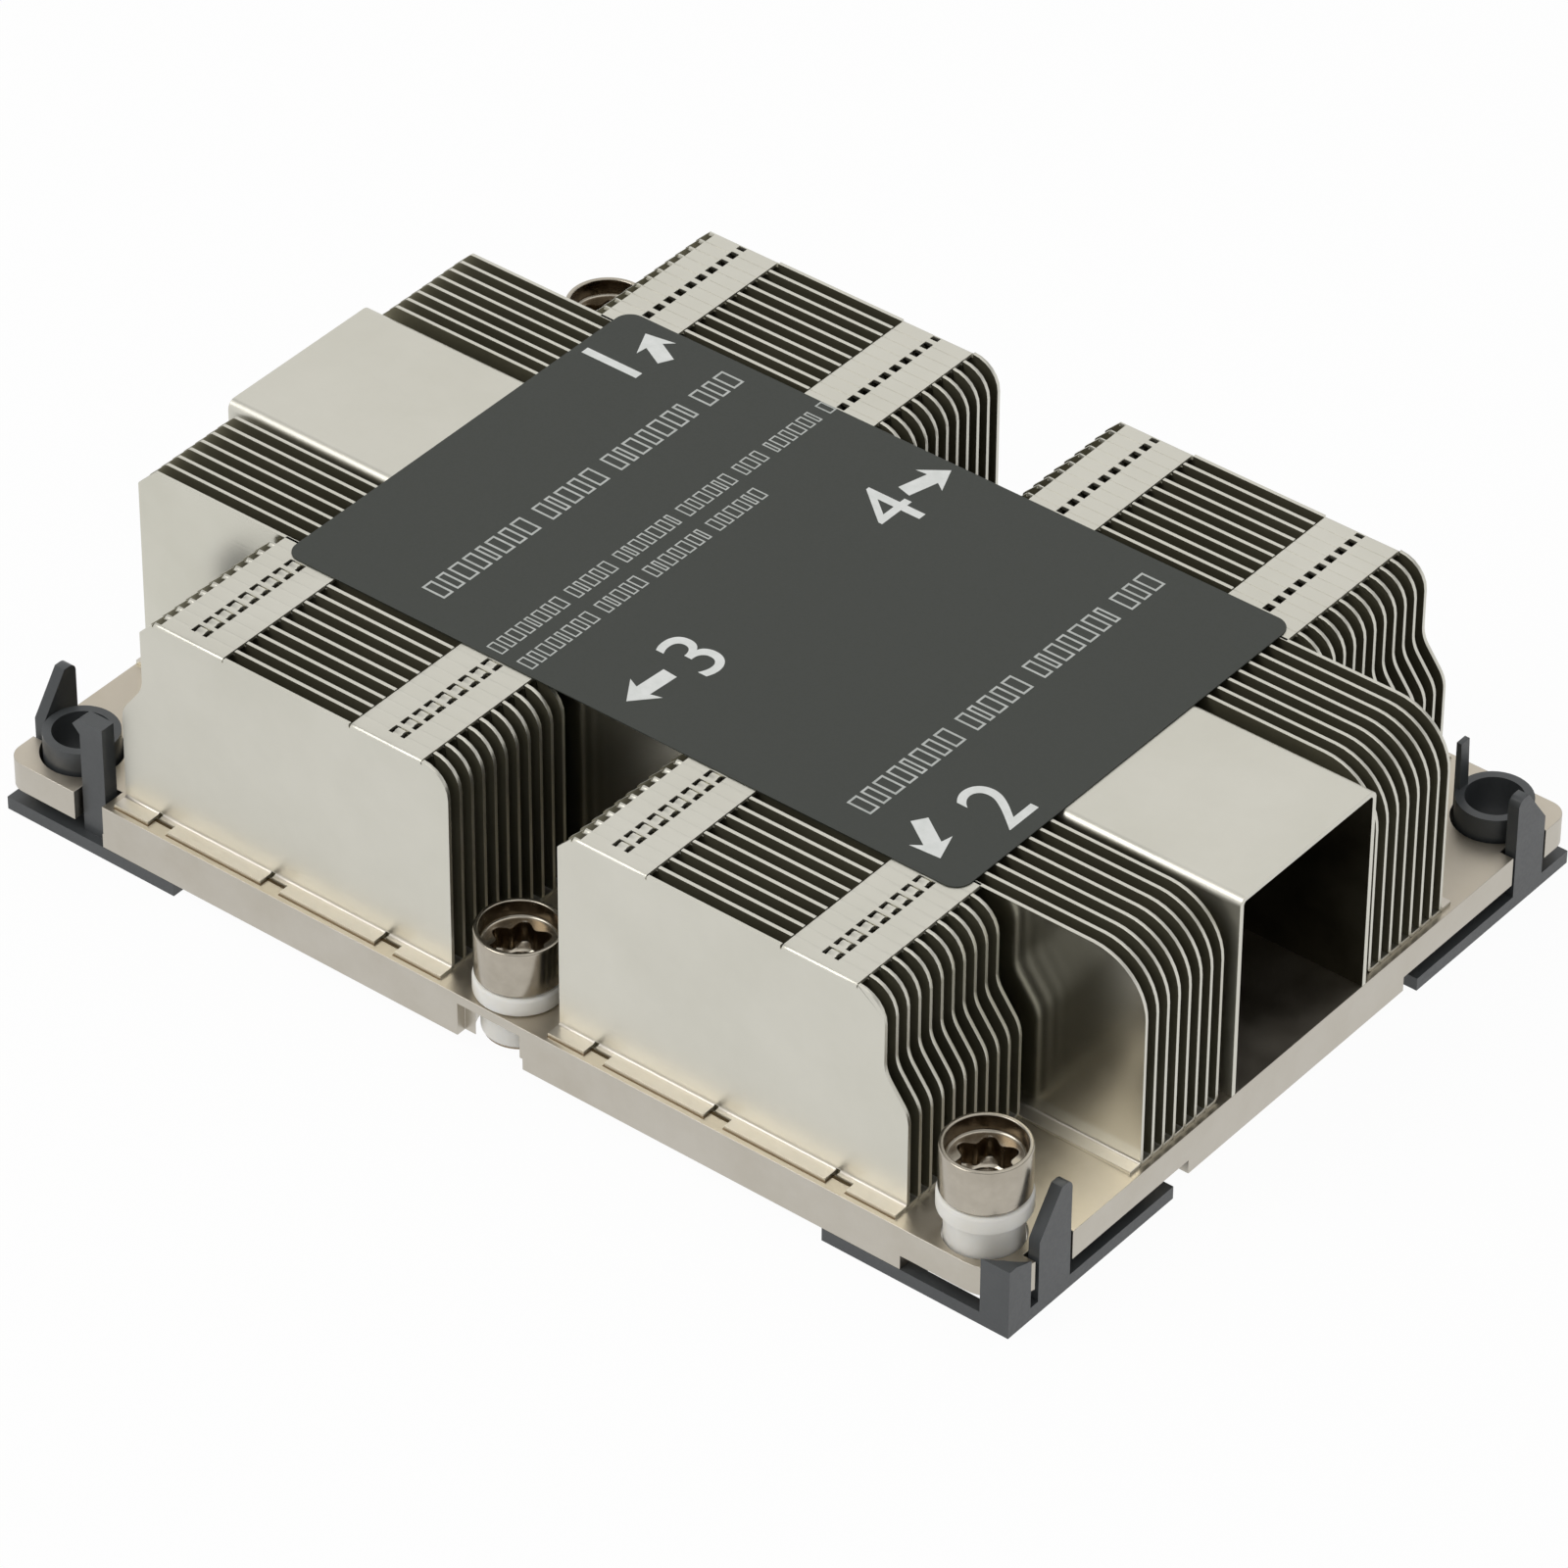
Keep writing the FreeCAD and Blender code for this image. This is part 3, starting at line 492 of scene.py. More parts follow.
# %% A folded sheet
class Sheet:
    """Points and faces of the middle of a sheet. A point asked for twice is shared."""

    def __init__(self):
        self.points = []
        self.faces = []
        self.known = {}

    def spot(self, point):
        key = tuple(round(value, 4) for value in point)
        if key not in self.known:
            self.known[key] = len(self.points)
            self.points.append(Vector(point))
        return self.known[key]

    def face(self, corners):
        self.faces.append([self.spot(corner) for corner in corners])

    def strips(self, columns, rows, place, left_out=()):
        """Faces between columns and rows, apart from those that are cut out."""
        for i in range(len(columns) - 1):
            for j in range(len(rows) - 1):
                if (i, j) not in left_out:
                    corners = ((i, j), (i + 1, j), (i + 1, j + 1), (i, j + 1))
                    self.face([place(columns[a], rows[b]) for a, b in corners])


def quarter_turn(radius):
    """Rows across and along for a quarter bend, from its start line."""
    rows = []
    for step in range(BEND_STEPS + 1):
        angle = math.pi / 2 * step / BEND_STEPS
        rows.append((radius * (1 - math.cos(angle)), radius * math.sin(angle)))
    return rows


print("rows in a bend:", len(quarter_turn(TOP_BEND)))

# %% [markdown]
# The fins lock into each other like a zip: in the middle of each band a small window is
# punched through the bend, and a tongue of the neighbour's flange is crimped into it. On the
# near stacks the tongue stands up, bright between two dark slots. The far stacks show their
# backs, where only clean windows are seen. The windows could be cut with booleans, but it is
# quicker and cleaner to leave out the faces of a grid.

# %% Bands
# Of each window: its width, the play beside the tongue, and how far it reaches inward.
NEAR_WINDOW, FAR_WINDOW = (1.7, 0.44, 0.8), (0.84, 0.1, 0.7)
WINDOW_BACK, WINDOW_DIP = 0.3, 0.6
# Rows of the tongue: how far beyond the flange, and how high above it.
TONGUE = ((0.0, 0.0), (0.14, 0.09), (0.4, 0.08), (0.58, -0.1))
BAND_RELIEF = 0.14
SCALLOP = 0.6


def window_cuts(inward, outermost, bend, last_row):
    """Columns and rows that the window and the slots beside the tongue leave out."""
    if outermost:
        rows = () if inward > 0 else (bend,)
    else:
        rows = range(bend + 1)
    slots = (2, 4) if inward > 0 else (2, 3, 4)
    return [(i, j) for i in (2, 3, 4) for j in rows] + [(i, last_row) for i in slots]


def add_band(sheet, left, right, y, inward, outermost, scalloped=False):
    """One flange band at the top of a fin, with its window and, on a near fin, its tongue.

    It gives the outline of the body below it. The outermost near fin is whole there."""
    width, play, end = NEAR_WINDOW if inward > 0 else FAR_WINDOW
    middle = (left + right) / 2
    first, last = middle - width / 2, middle + width / 2
    columns = [left, left + SCALLOP, first, first + play, last - play, last, right]
    rows = quarter_turn(TOP_BEND) + [(end, TOP_BEND), (FLANGE_REACH - WINDOW_BACK, TOP_BEND),
                                     (FLANGE_REACH, TOP_BEND)]
    last_row = len(rows) - 2

    def place(x, row):
        return (x, y + row[0] * inward, TOP_EDGE + row[1])

    cut = window_cuts(inward, outermost, BEND_STEPS, last_row)
    if scalloped:
        cut += [(0, j) for j in range(BEND_STEPS, last_row + 1)]
    sheet.strips(columns, rows, place, cut)
    if inward > 0:
        tongue = [(FLANGE_REACH + reach, TOP_BEND + rise) for reach, rise in TONGUE]
        sheet.strips(columns[3:5], tongue, place)
    if outermost:
        edge = [(x, TOP_EDGE, 0) for x in reversed(columns)]
    else:
        dip = TOP_EDGE - WINDOW_DIP
        edge = [(right, TOP_EDGE, 0), (last, TOP_EDGE, 0), (last, dip, 0), (first, dip, 0),
                (first, TOP_EDGE, 0), (left + SCALLOP, TOP_EDGE, 0), (left, TOP_EDGE, 0)]
    return [(right + BAND_RELIEF, FIN_TOP, 0), (right + BAND_RELIEF, TOP_EDGE, 0), *edge,
            (left - BAND_RELIEF, TOP_EDGE, 0), (left - BAND_RELIEF, FIN_TOP, 0)]


# %% [markdown]
# A visible foot has three notches in its free edge, and each notch goes on as a slit through
# the fold at one end. They are holes in a grid again, so the foot is drawn as the bands are.

# %% Feet
LOCK_START, LOCK_STEP, LOCKS = 3.8, 12.6, 3
LOCK_LENGTH, LOCK_SLIT, LOCK_DEEP = 2.2, 0.45, 1.0


def lock_starts(left):
    return [left + LOCK_START + LOCK_STEP * number for number in range(LOCKS)]


def add_foot(sheet, left, right, y, outward, reach, locked):
    """The foot of a fin, with notches in its free edge where it is the visible one."""
    columns, left_out = [left, right], []
    bend = quarter_turn(FOOT_BEND)
    rows = bend + [(reach, FOOT_BEND)]
    if locked:
        rows = bend + [(reach - LOCK_DEEP, FOOT_BEND), (reach, FOOT_BEND)]
        columns = [left]
        for start in lock_starts(left):
            slit = len(columns)
            left_out += [(slit, j) for j in range(1, len(rows) - 1)]
            left_out += [(slit + 1, len(rows) - 2)]
            columns += [start, start + LOCK_SLIT, start + LOCK_LENGTH]
        columns.append(right)

    def place(x, row):
        return (x, y + row[0] * outward, FOOT_EDGE - row[1])

    sheet.strips(columns, rows, place, left_out)
    return [(x, FOOT_EDGE, 0) for x in columns]


print("notches start at", [round(x, 2) for x in lock_starts(0.0)], "from the foot's left end")

# %% [markdown]
# A fin is bright outside and paler on its foot. Where it faces its neighbour, under its folds
# and on the ledges of its windows it is painted darker, as painted shade in the gaps. Once it
# is thick, the way that a face looks tells which part it is: its normal says whether it is
# upright, level or sloped.

# %% Finishes of a fin
OUTSIDE, GAP_SHADE, FOOT, LONG_OUTSIDE = range(4)
UPRIGHT, LEVEL, SLOPED = 0.7, 0.5, 0.3
SHEET_EASE = 0.05
LEDGE_PLAY = 0.1
FOOT_ZONE = PLATE_TOP + FIN_SHEET * 3


def finish_sheet(piece, inward, outermost, outer_slot=OUTSIDE):
    """Thickens a fin and gives it its finishes, with painted shade on the faces in its gaps.

    The outer face of an outermost fin takes the finish in outer_slot."""
    thicken(piece, FIN_SHEET)
    ease(piece, SHEET_EASE)
    apply_modifiers(piece)
    for face in piece.data.polygons:
        faces_out = outermost and face.normal.y * inward < 0
        upright = abs(face.normal.y) > UPRIGHT and face.center.z < TOP_EDGE * MM
        above_dip = face.center.z / MM - TOP_EDGE + WINDOW_DIP
        ledge = face.normal.z > LEVEL and abs(above_dip) < LEDGE_PLAY
        on_foot = face.normal.z > SLOPED and face.center.z < FOOT_ZONE * MM
        # Painted shade goes on the faces in the gaps: between fins, under folds and on window
        # ledges.
        if face.normal.z < -LEVEL or ledge or (upright and not faces_out):
            face.material_index = GAP_SHADE
        elif outermost and on_foot:
            face.material_index = FOOT
        elif upright:
            face.material_index = outer_slot
    weigh_normals(piece)


# %% [markdown]
# There are four stacks of eleven short fins. Towards the end of the plate a fin flares out
# at half its height, and it has a round knee above. Towards the gap it has a bevelled nick.
# The left and the right stacks mirror each other, but the knee is always on the right.

# %% One corner fin
FLARE_LOW, FLARE_HIGH, FLARE_ROUND = 9.6, 13.0, 3.0
FLARE_OUT = 2.5
KNEE, NICK, NICK_ROUND = 2.8, 1.6, 0.3
BAND_WIDTH = 7.6
BAND_START, BAND_END = 1.6, 2.9
FOOT_REACH = 1.5 + FIN_SHEET / 2


def corner_fin(node, inward, outermost):
    """One short fin, inside the box of its solid."""
    low, high = box_mm(node)
    side = 1 if low.x > 0 else -1
    y = (high.y if inward > 0 else low.y) - (PITCH - FIN_SHEET / 2) * inward
    gap, foot = (low.x, high.x) if side > 0 else (high.x, low.x)
    top_end = foot - FLARE_OUT * side
    left, right = min(gap, top_end), max(gap, top_end)
    sheet = Sheet()
    reach = FOOT_REACH if outermost else FLANGE_REACH
    bottom = add_foot(sheet, low.x, high.x, y, -inward, reach, outermost)
    second = add_band(sheet, right - BAND_END - BAND_WIDTH, right - BAND_END, y, inward,
                      outermost)
    first = add_band(sheet, left + BAND_START, left + BAND_START + BAND_WIDTH, y, inward,
                     outermost, True)
    flare = [(foot, PLATE_TOP + FLARE_LOW, FLARE_ROUND),
             (top_end, PLATE_TOP + FLARE_HIGH, FLARE_ROUND)]
    tooth = NICK - BAND_START + BAND_RELIEF
    top = [(right, FIN_TOP, KNEE)] + second + first[:-1] \
        + [(first[-1][0], FIN_TOP - tooth, 0), (left, FIN_TOP - NICK, NICK_ROUND)]
    corners = bottom + flare + top if side > 0 else bottom + top + flare[::-1]
    sheet.face([(point.x, y, point.y) for point in rounded(corners)])
    piece = new_piece(node + "_folded", sheet.points, sheet.faces,
                      [FIN_METAL, FIN_GAP_SHADE, FOOT_METAL])
    finish_sheet(piece, inward, outermost)
    return tie(piece, "fin_aluminium", "root", node)


# %% Four corner stacks
STACKS = (("near_left", 1), ("near_right", 1), ("far_left", -1), ("far_right", -1))
FINS_IN_STACK = 11
corner_fins = [corner_fin("corner_fin_%s_%02d" % (corner, number), inward, number == 1)
               for corner, inward in STACKS
               for number in range(1, FINS_IN_STACK + 1)]
print("corner fins:", len(corner_fins), "with", len(corner_fins[1].data.polygons), "faces each")

# %% [markdown]
# A thin dark line is painted where a visible foot ends on the plate, and a wider, darker one in
# each notch: painted shadow under the foot's free edge and in its notches. Paint could show
# them, but thin ribbons are sharper. A line follows the free edge, so it is a ribbon along a
# path of right angles: each corner of the path is moved sideways by half the ribbon's width,
# once to each side.


# %% Ribbons
def ribbon(name, path, width, low, high, material):
    """A flat ribbon along a path with right angles."""
    path = [Vector(point) for point in path]
    sides = ([], [])
    for i, point in enumerate(path):
        before = (point - path[i - 1]).normalized() if i else (path[1] - point).normalized()
        after = (path[i + 1] - point).normalized() if i + 1 < len(path) else before
        normals = [Vector((-way.y, way.x)) for way in (before, after)]
        shift = (normals[0] + normals[1]) / (1 + normals[0].dot(normals[1])) * width / 2
        sides[0].append(point + shift)
        sides[1].append(point - shift)
    total = len(path)
    points = [(*point, level) for level in (low, high) for side in sides for point in side]
    faces = []
    for i in range(total - 1):
        a, b, c, d = i, i + 1, total + i + 1, total + i
        top = 2 * total
        faces += [[a, b, c, d], [a + top, b + top, c + top, d + top],
                  [a, b, b + top, a + top], [d, c, c + top, d + top]]
    for a, d in ((0, total), (total - 1, 2 * total - 1)):
        faces.append([a, d, d + 2 * total, a + 2 * total])
    piece = new_piece(name, points, faces, [material])
    apply_modifiers(piece)
    return tie(piece, "plate_nickel")


# %% Painted shadow lines at the visible feet
SHADOW_LINE_WIDTH, SHADOW_LINE_TALL = 0.13, 0.03
NOTCH_WIDTH, NOTCH_TALL = 0.26, 0.06


def painted_shadow_lines(corner, inward):
    """The painted shadow line along a visible foot, and the wider one in each of its notches.
    """
    low, high = box_mm("corner_fin_%s_01" % corner)
    half = SHADOW_LINE_WIDTH / 2
    edge = (low.y if inward > 0 else high.y) - half * inward
    deep = edge + LOCK_DEEP * inward
    path = [(low.x, edge)]
    for number, start in enumerate(lock_starts(low.x)):
        stop = start + LOCK_LENGTH
        ribbon("notch_line_%s_%d" % (corner, number + 1), [(start, deep), (stop, deep)],
               NOTCH_WIDTH, PLATE_TOP, PLATE_TOP + NOTCH_TALL, NOTCH_PAINTED_SHADE)
        path += [(start + half, edge), (start + half, deep), (stop - half, deep),
                 (stop - half, edge)]
    path.append((high.x, edge))
    return ribbon("painted_shadow_line_" + corner, path, SHADOW_LINE_WIDTH, PLATE_TOP, PLATE_TOP + SHADOW_LINE_TALL,
                  FOOT_SHADOW_LINE)


for corner, inward in STACKS:
    painted_shadow_lines(corner, inward)
print("painted shadow lines:", len(STACKS), "and in notches:", len(STACKS) * LOCKS)

# %% [markdown]
# The long fins cross the whole plate beside the tunnel. The solids hold each group of eight
# as one, as solder does on the real part; here each sheet is a piece again, with its own
# bends, its rounded corner on the right and its bevelled corner on the left.

# %% Long fins
LONG_ROUND, LONG_NICK = 5.5, 2.0
LONG_CHORDS = 10
LONG_BAND = 24.0
LONG_FINS = 8


def long_fin(node, number, inward):
    low, high = box_mm(node)
    outer = low.y if inward > 0 else high.y
    y = outer + (PITCH - FIN_SHEET / 2 + PITCH * number) * inward
    sheet = Sheet()
    bottom = add_foot(sheet, low.x, high.x, y, -inward, FLANGE_REACH, False)
    bands = []
    for middle in (LONG_BAND, -LONG_BAND):
        bands += add_band(sheet, middle - BAND_WIDTH / 2, middle + BAND_WIDTH / 2, y, inward,
                          number == 0)
    corners = bottom + [(high.x, FIN_TOP, LONG_ROUND)] + bands \
        + [(low.x + LONG_NICK, FIN_TOP, NICK_ROUND), (low.x, FIN_TOP - LONG_NICK, NICK_ROUND)]
    sheet.face([(point.x, y, point.y) for point in rounded(corners, LONG_CHORDS)])
    piece = new_piece("%s_%d_folded" % (node, number + 1), sheet.points, sheet.faces,
                      [FIN_METAL, FIN_GAP_SHADE, FOOT_METAL, LONG_FACE])
    finish_sheet(piece, inward, number == 0, LONG_OUTSIDE)
    return tie(piece, "fin_aluminium", "root", node)


long_fins = [long_fin(node, number, inward)
             for node, inward in (("long_fins_near", 1), ("long_fins_far", -1))
             for number in range(LONG_FINS)]
print("long fins:", len(long_fins))

# %% [markdown]
# The tunnel is a heavier sheet folded over a bar, so its two upper edges are round. The outline
# is the middle of the sheet again. Its ends are straight cuts, and its inside is painted dark,
# as painted shade in the long tunnel.

# %% Air channel
CHANNEL_SHEET = 0.5
CHANNEL_ROUND, CHANNEL_CHORDS = 0.6, 8
CHANNEL_EASE = 0.06


def air_channel():
    low, high = box_mm("air_channel")
    half = CHANNEL_SHEET / 2
    near, far, top = low.y + half, high.y - half, high.z - half
    path = rounded([(near, low.z, 0), (near, top, CHANNEL_ROUND), (far, top, CHANNEL_ROUND),
                    (far, low.z, 0)], CHANNEL_CHORDS)
    sheet = Sheet()
    for start, end in zip(path, path[1:]):
        sheet.face([(low.x, *start), (high.x, *start), (high.x, *end), (low.x, *end)])
    piece = new_piece("air_channel_folded", sheet.points, sheet.faces,
                      [FIN_METAL, CHANNEL_PAINTED_SHADE])
    # The back of the sheet, inside the tunnel, takes the painted shade.
    thicken(piece, CHANNEL_SHEET, even=False, back_slot=1)
    ease(piece, CHANNEL_EASE)
    apply_modifiers(piece)
    weigh_normals(piece)
    return tie(piece, "fin_aluminium", "root", "air_channel")


channel = air_channel()
print("channel:", len(channel.data.polygons), "faces")

# %% [markdown]
# The label is a film over the tunnel and the long fins. Its rounded outline becomes a thin
# slab, and the print lies on it as marks a few hundredths thick: a numeral and an arrow for
# each nut, and rows of plain open boxes in place of lines of words. A picture could carry
# the print, but marks of geometry stay sharp and need no file.

# %% Label film
FILM_TOP = FIN_TOP + 0.125
PRINT_TOP = FIN_TOP + 0.14
FILM_ROUND, FILM_CHORDS = 1.6, 10
FILM_EASE = 0.04


def slab(name, outline, low, high, material):
    """A flat piece with an outline and two levels."""
    total = len(outline)
    points = [(x, y, level) for level in (low, high) for x, y in outline]
    faces = [list(range(total))[::-1], list(range(total, 2 * total))]
    faces += [[i, (i + 1) % total, total + (i + 1) % total, total + i] for i in range(total)]
    return new_piece(name, points, faces, [material])


def label_sheet():
    low, high = box_mm("label")
    corners = [(x, y, FILM_ROUND) for x, y in ((low.x, low.y), (high.x, low.y),
                                               (high.x, high.y), (low.x, high.y))]
    piece = slab("label_sheet", [tuple(point) for point in rounded(corners, FILM_CHORDS)],
                 FIN_TOP, FILM_TOP, LABEL_FILM)
    ease(piece, FILM_EASE)
    apply_modifiers(piece)
    weigh_normals(piece)
    return tie(piece, "label_film", "root", "label")


film = label_sheet()
print("label:", len(film.data.polygons), "faces")

# %% Numerals
NUMERAL_TALL = 6.1


def numeral_mesh(text):
    """The mesh of a numeral in Blender's own letterform."""
    curve = bpy.data.curves.new("numeral_" + text, "FONT")
    curve.body = text
    curve.align_x, curve.align_y = "CENTER", "CENTER"
    holder = add_object("numeral_" + text, curve)
    bpy.context.view_layer.update()
    graph = bpy.context.evaluated_depsgraph_get()
    mesh = bpy.data.meshes.new_from_object(holder.evaluated_get(graph))
    bpy.data.objects.remove(holder)
    return mesh


def numeral(text, centre):
    """A plain numeral that reads along Y, with its top towards the left short edge."""
    mesh = numeral_mesh(text)
    spots = [vertex.co.copy() for vertex in mesh.vertices]
    low_y, high_y = min(s.y for s in spots), max(s.y for s in spots)
    low_x, high_x = min(s.x for s in spots), max(s.x for s in spots)
    scale = NUMERAL_TALL / (high_y - low_y)
    for vertex, spot in zip(mesh.vertices, spots):
        across = (spot.x - (low_x + high_x) / 2) * scale
        up = (spot.y - (low_y + high_y) / 2) * scale
        vertex.co = Vector((centre[0] - up, centre[1] + across, PRINT_TOP)) * MM
    mesh.materials.clear()
    mesh.materials.append(LABEL_PRINT)
    return tie(add_object("label_numeral_" + text, mesh), "label_film")


# %% Numerals and arrows in place
SHAFT_HALF, WING_HALF = 0.76, 1.85
NECK_BACK, BARB_BACK = 2.0, 2.4
# Of each mark: the middle of its numeral, and the start and the tip of its arrow.
MARKS = {
    "1": ((-31.9, 15.7), (-28.4, 18.8), (-32.4, 20.9)),
    "2": ((31.2, -12.0), (27.7, -17.4), (32.1, -20.3)),
    "3": ((-0.3, -12.0), (-0.2, -15.1), (-0.6, -20.3)),
    "4": ((-0.4, 14.1), (-0.8, 16.9), (0.5, 21.8)),
}


def arrow(name, start, end):
    """A bold arrow from one point to another."""
    start, end = Vector(start), Vector(end)
    along = (end - start).normalized()
    across = Vector((-along.y, along.x))
    shaft, wing = across * SHAFT_HALF, across * WING_HALF
    neck, barb = end - along * NECK_BACK, end - along * BARB_BACK
    outline = [start - shaft, neck - shaft, barb - wing, end, barb + wing, neck + shaft,
               start + shaft]
    piece = slab(name, [tuple(point) for point in outline], FILM_TOP, PRINT_TOP, LABEL_PRINT)
    return tie(piece, "label_film")


for text, (centre, start, end) in MARKS.items():
    numeral(text, centre)
    arrow("label_arrow_" + text, start, end)
print("numerals and arrows:", len(MARKS))

# %% Boxes in place of words
# Of each row: its name, its middle along X, its start and end along Y, and its height.
BOX_ROWS = (("a", -22.5, -19.1, 20.4, 2.5), ("b", -13.45, -21.9, 22.3, 1.75),
            ("c", -10.2, -21.9, 9.75, 1.75), ("d", 23.0, -19.4, 20.7, 2.5))
WORD_LENGTHS = (8, 5, 7, 6, 3, 6)
BOX_SHARES = (0.5, 0.42, 0.54, 0.46, 0.3)
STROKE_SHARE, BOX_GAP, WORD_GAP = 0.085, 0.2, 0.4


def box_row(name, x, start, end, tall):
    """Plain open boxes in groups, as long as a line of words."""
    points, faces = [], []
    stroke = tall * STROKE_SHARE
    y, count, word, total = start, 0, 0, 0
    while y < end:
        wide = tall * BOX_SHARES[total % len(BOX_SHARES)]
        first = len(points)
        for level in (FILM_TOP, PRINT_TOP):
            for inset in (0.0, stroke):
                low, high = x - tall / 2 + inset, x + tall / 2 - inset
                points += [(low, y + inset, level), (high, y + inset, level),
                           (high, y + wide - inset, level), (low, y + wide - inset, level)]
        for k in range(4):
            after = (k + 1) % 4
            for a, b, c, d in ((8, 8, 12, 12), (0, 0, 8, 8), (12, 12, 4, 4), (4, 4, 0, 0)):
                faces.append([first + a + k, first + b + after, first + c + after,
                              first + d + k])
        count += 1
        total += 1
        y += wide + tall * BOX_GAP
        if count == WORD_LENGTHS[word % len(WORD_LENGTHS)]:
            y += tall * WORD_GAP
            count, word = 0, word + 1
    piece = new_piece(name, points, faces, [LABEL_GREY_PRINT])
    apply_modifiers(piece)
    return tie(piece, "label_film")


for letter, x, start, end, tall in BOX_ROWS:
    box_row("label_boxes_" + letter, x, start, end, tall)
print("rows of boxes:", len(BOX_ROWS))

# %% [markdown]
# The nuts are turned on a lathe, so each is drawn as rings: a list of radii and heights,
# with every edge slightly broken. A Screw modifier turns a profile too, but the socket needs
# more than a plain ring: its radius swings six times around. The thread is a ring whose
# radius follows a helix. Both are the same idea: a ring may take its radius from the angle.

# %% Turned pieces
RING_POINTS = 72


def turned(name, centre, rings, materials):
    """Closed rings, joined in order and closed from the last to the first."""
    points, faces = [], []
    for radius, height in rings:
        for k in range(RING_POINTS):
            angle = 2 * math.pi * k / RING_POINTS
            reach = radius(angle) if callable(radius) else radius
            points.append((centre.x + reach * math.cos(angle),
                           centre.y + reach * math.sin(angle), centre.z + height))
    total = len(rings)
    for j in range(total):
        here, there = j * RING_POINTS, (j + 1) % total * RING_POINTS
        for k in range(RING_POINTS):
            after = (k + 1) % RING_POINTS
            faces.append([here + k, here + after, there + after, there + k])
    return new_piece(name, points, faces, materials)


# %% Nylon sleeves
SLEEVE_RIM, FLANGE_OUT, SLEEVE_WALL = 1.8, 0.65, 1.3
SLEEVE_SHARP = 50.0
PROFILE_CHORDS = 4
NUT_PLACES = {}
for k in range(1, 5):
    low, high = box_mm("nut_sleeve_%d" % k)
    NUT_PLACES[k] = Vector(((low.x + high.x) / 2, (low.y + high.y) / 2, high.z - SLEEVE_RIM))


def nut_sleeve(k):
    """A nylon sleeve. Heights count from the underside of its flange."""
    low, high = box_mm("nut_sleeve_%d" % k)
    flange, bottom = (high.x - low.x) / 2, low.z - NUT_PLACES[k].z
    barrel, inside = flange - FLANGE_OUT, flange - SLEEVE_WALL
    profile = rounded([(inside, bottom, 0.1), (barrel, bottom, 0.2), (barrel, 0.0, 0.08),
                       (flange, 0.0, 0.25), (flange, SLEEVE_RIM, 0.4),
                       (inside, SLEEVE_RIM, 0.1)], PROFILE_CHORDS)
    piece = turned("nut_sleeve_%d_moulded" % k, NUT_PLACES[k],
                   [tuple(point) for point in profile], [NYLON])
    apply_modifiers(piece, SLEEVE_SHARP)
    return tie(piece, "sleeve_nylon", "sleeve_%d" % k, "nut_sleeve_%d" % k)


for k in NUT_PLACES:
    nut_sleeve(k)
print("sleeves at", [tuple(round(v, 2) for v in place) for place in NUT_PLACES.values()])

# %% Thread and socket
THREAD, THREAD_DEEP, THREAD_PITCH = 1.66, 0.3, 0.7
THREAD_STEPS, THREAD_END = 48, 0.15
SOCKET_LOBES = 6
SOCKET_MIDDLE, SOCKET_SWING, SOCKET_DEEP = 2.35, 0.4, 2.2
LIP_WIDER, LIP_DOWN, LIP_TALL = 0.06, 0.02, 0.12
SOCKET_ROOT, ROOT_SWING = 0.1, 0.05


def lobed(middle, swing):
    return lambda angle: middle + swing * math.cos(SOCKET_LOBES * angle)


def thread_ring(height):
    """Radius of the threaded hole at a height: a helix that climbs one pitch a turn."""
    def radius(angle):
        phase = (height / THREAD_PITCH - angle / (2 * math.pi)) % 1.0
        return THREAD + THREAD_DEEP * (1 - abs(2 * phase - 1))
    return radius


def hollow_rings(floor, bottom):
    """Rings from the floor of the cup, down the socket and through the thread."""
    end = floor - SOCKET_DEEP
    rings = [(lobed(SOCKET_MIDDLE + LIP_WIDER, SOCKET_SWING), floor - LIP_DOWN),
             (lobed(SOCKET_MIDDLE, SOCKET_SWING), floor - LIP_TALL),
             (lobed(SOCKET_MIDDLE, SOCKET_SWING), end + SOCKET_ROOT),
             (lobed(SOCKET_MIDDLE - SOCKET_ROOT, SOCKET_SWING - ROOT_SWING), end),
             (THREAD + THREAD_DEEP + LIP_WIDER, end - LIP_DOWN)]
    length = bottom + THREAD_END - end + THREAD_END
    for step in range(THREAD_STEPS + 1):
        height = end - THREAD_END + length * step / THREAD_STEPS
        rings.append((thread_ring(height), height))
    return rings


# %% Steel nuts
SHANK, SEAT, NUT_TALL, CUP_WALL, CUP_DEEP = 2.55, 1.85, 4.6, 0.45, 1.7
COLLAR, COLLAR_TALL, COLLAR_SLOPE = 3.62, 0.7, 0.05
FLOOR_EDGE = 0.1
NUT_SHARP = 40.0
WALL_PLAY = 0.05


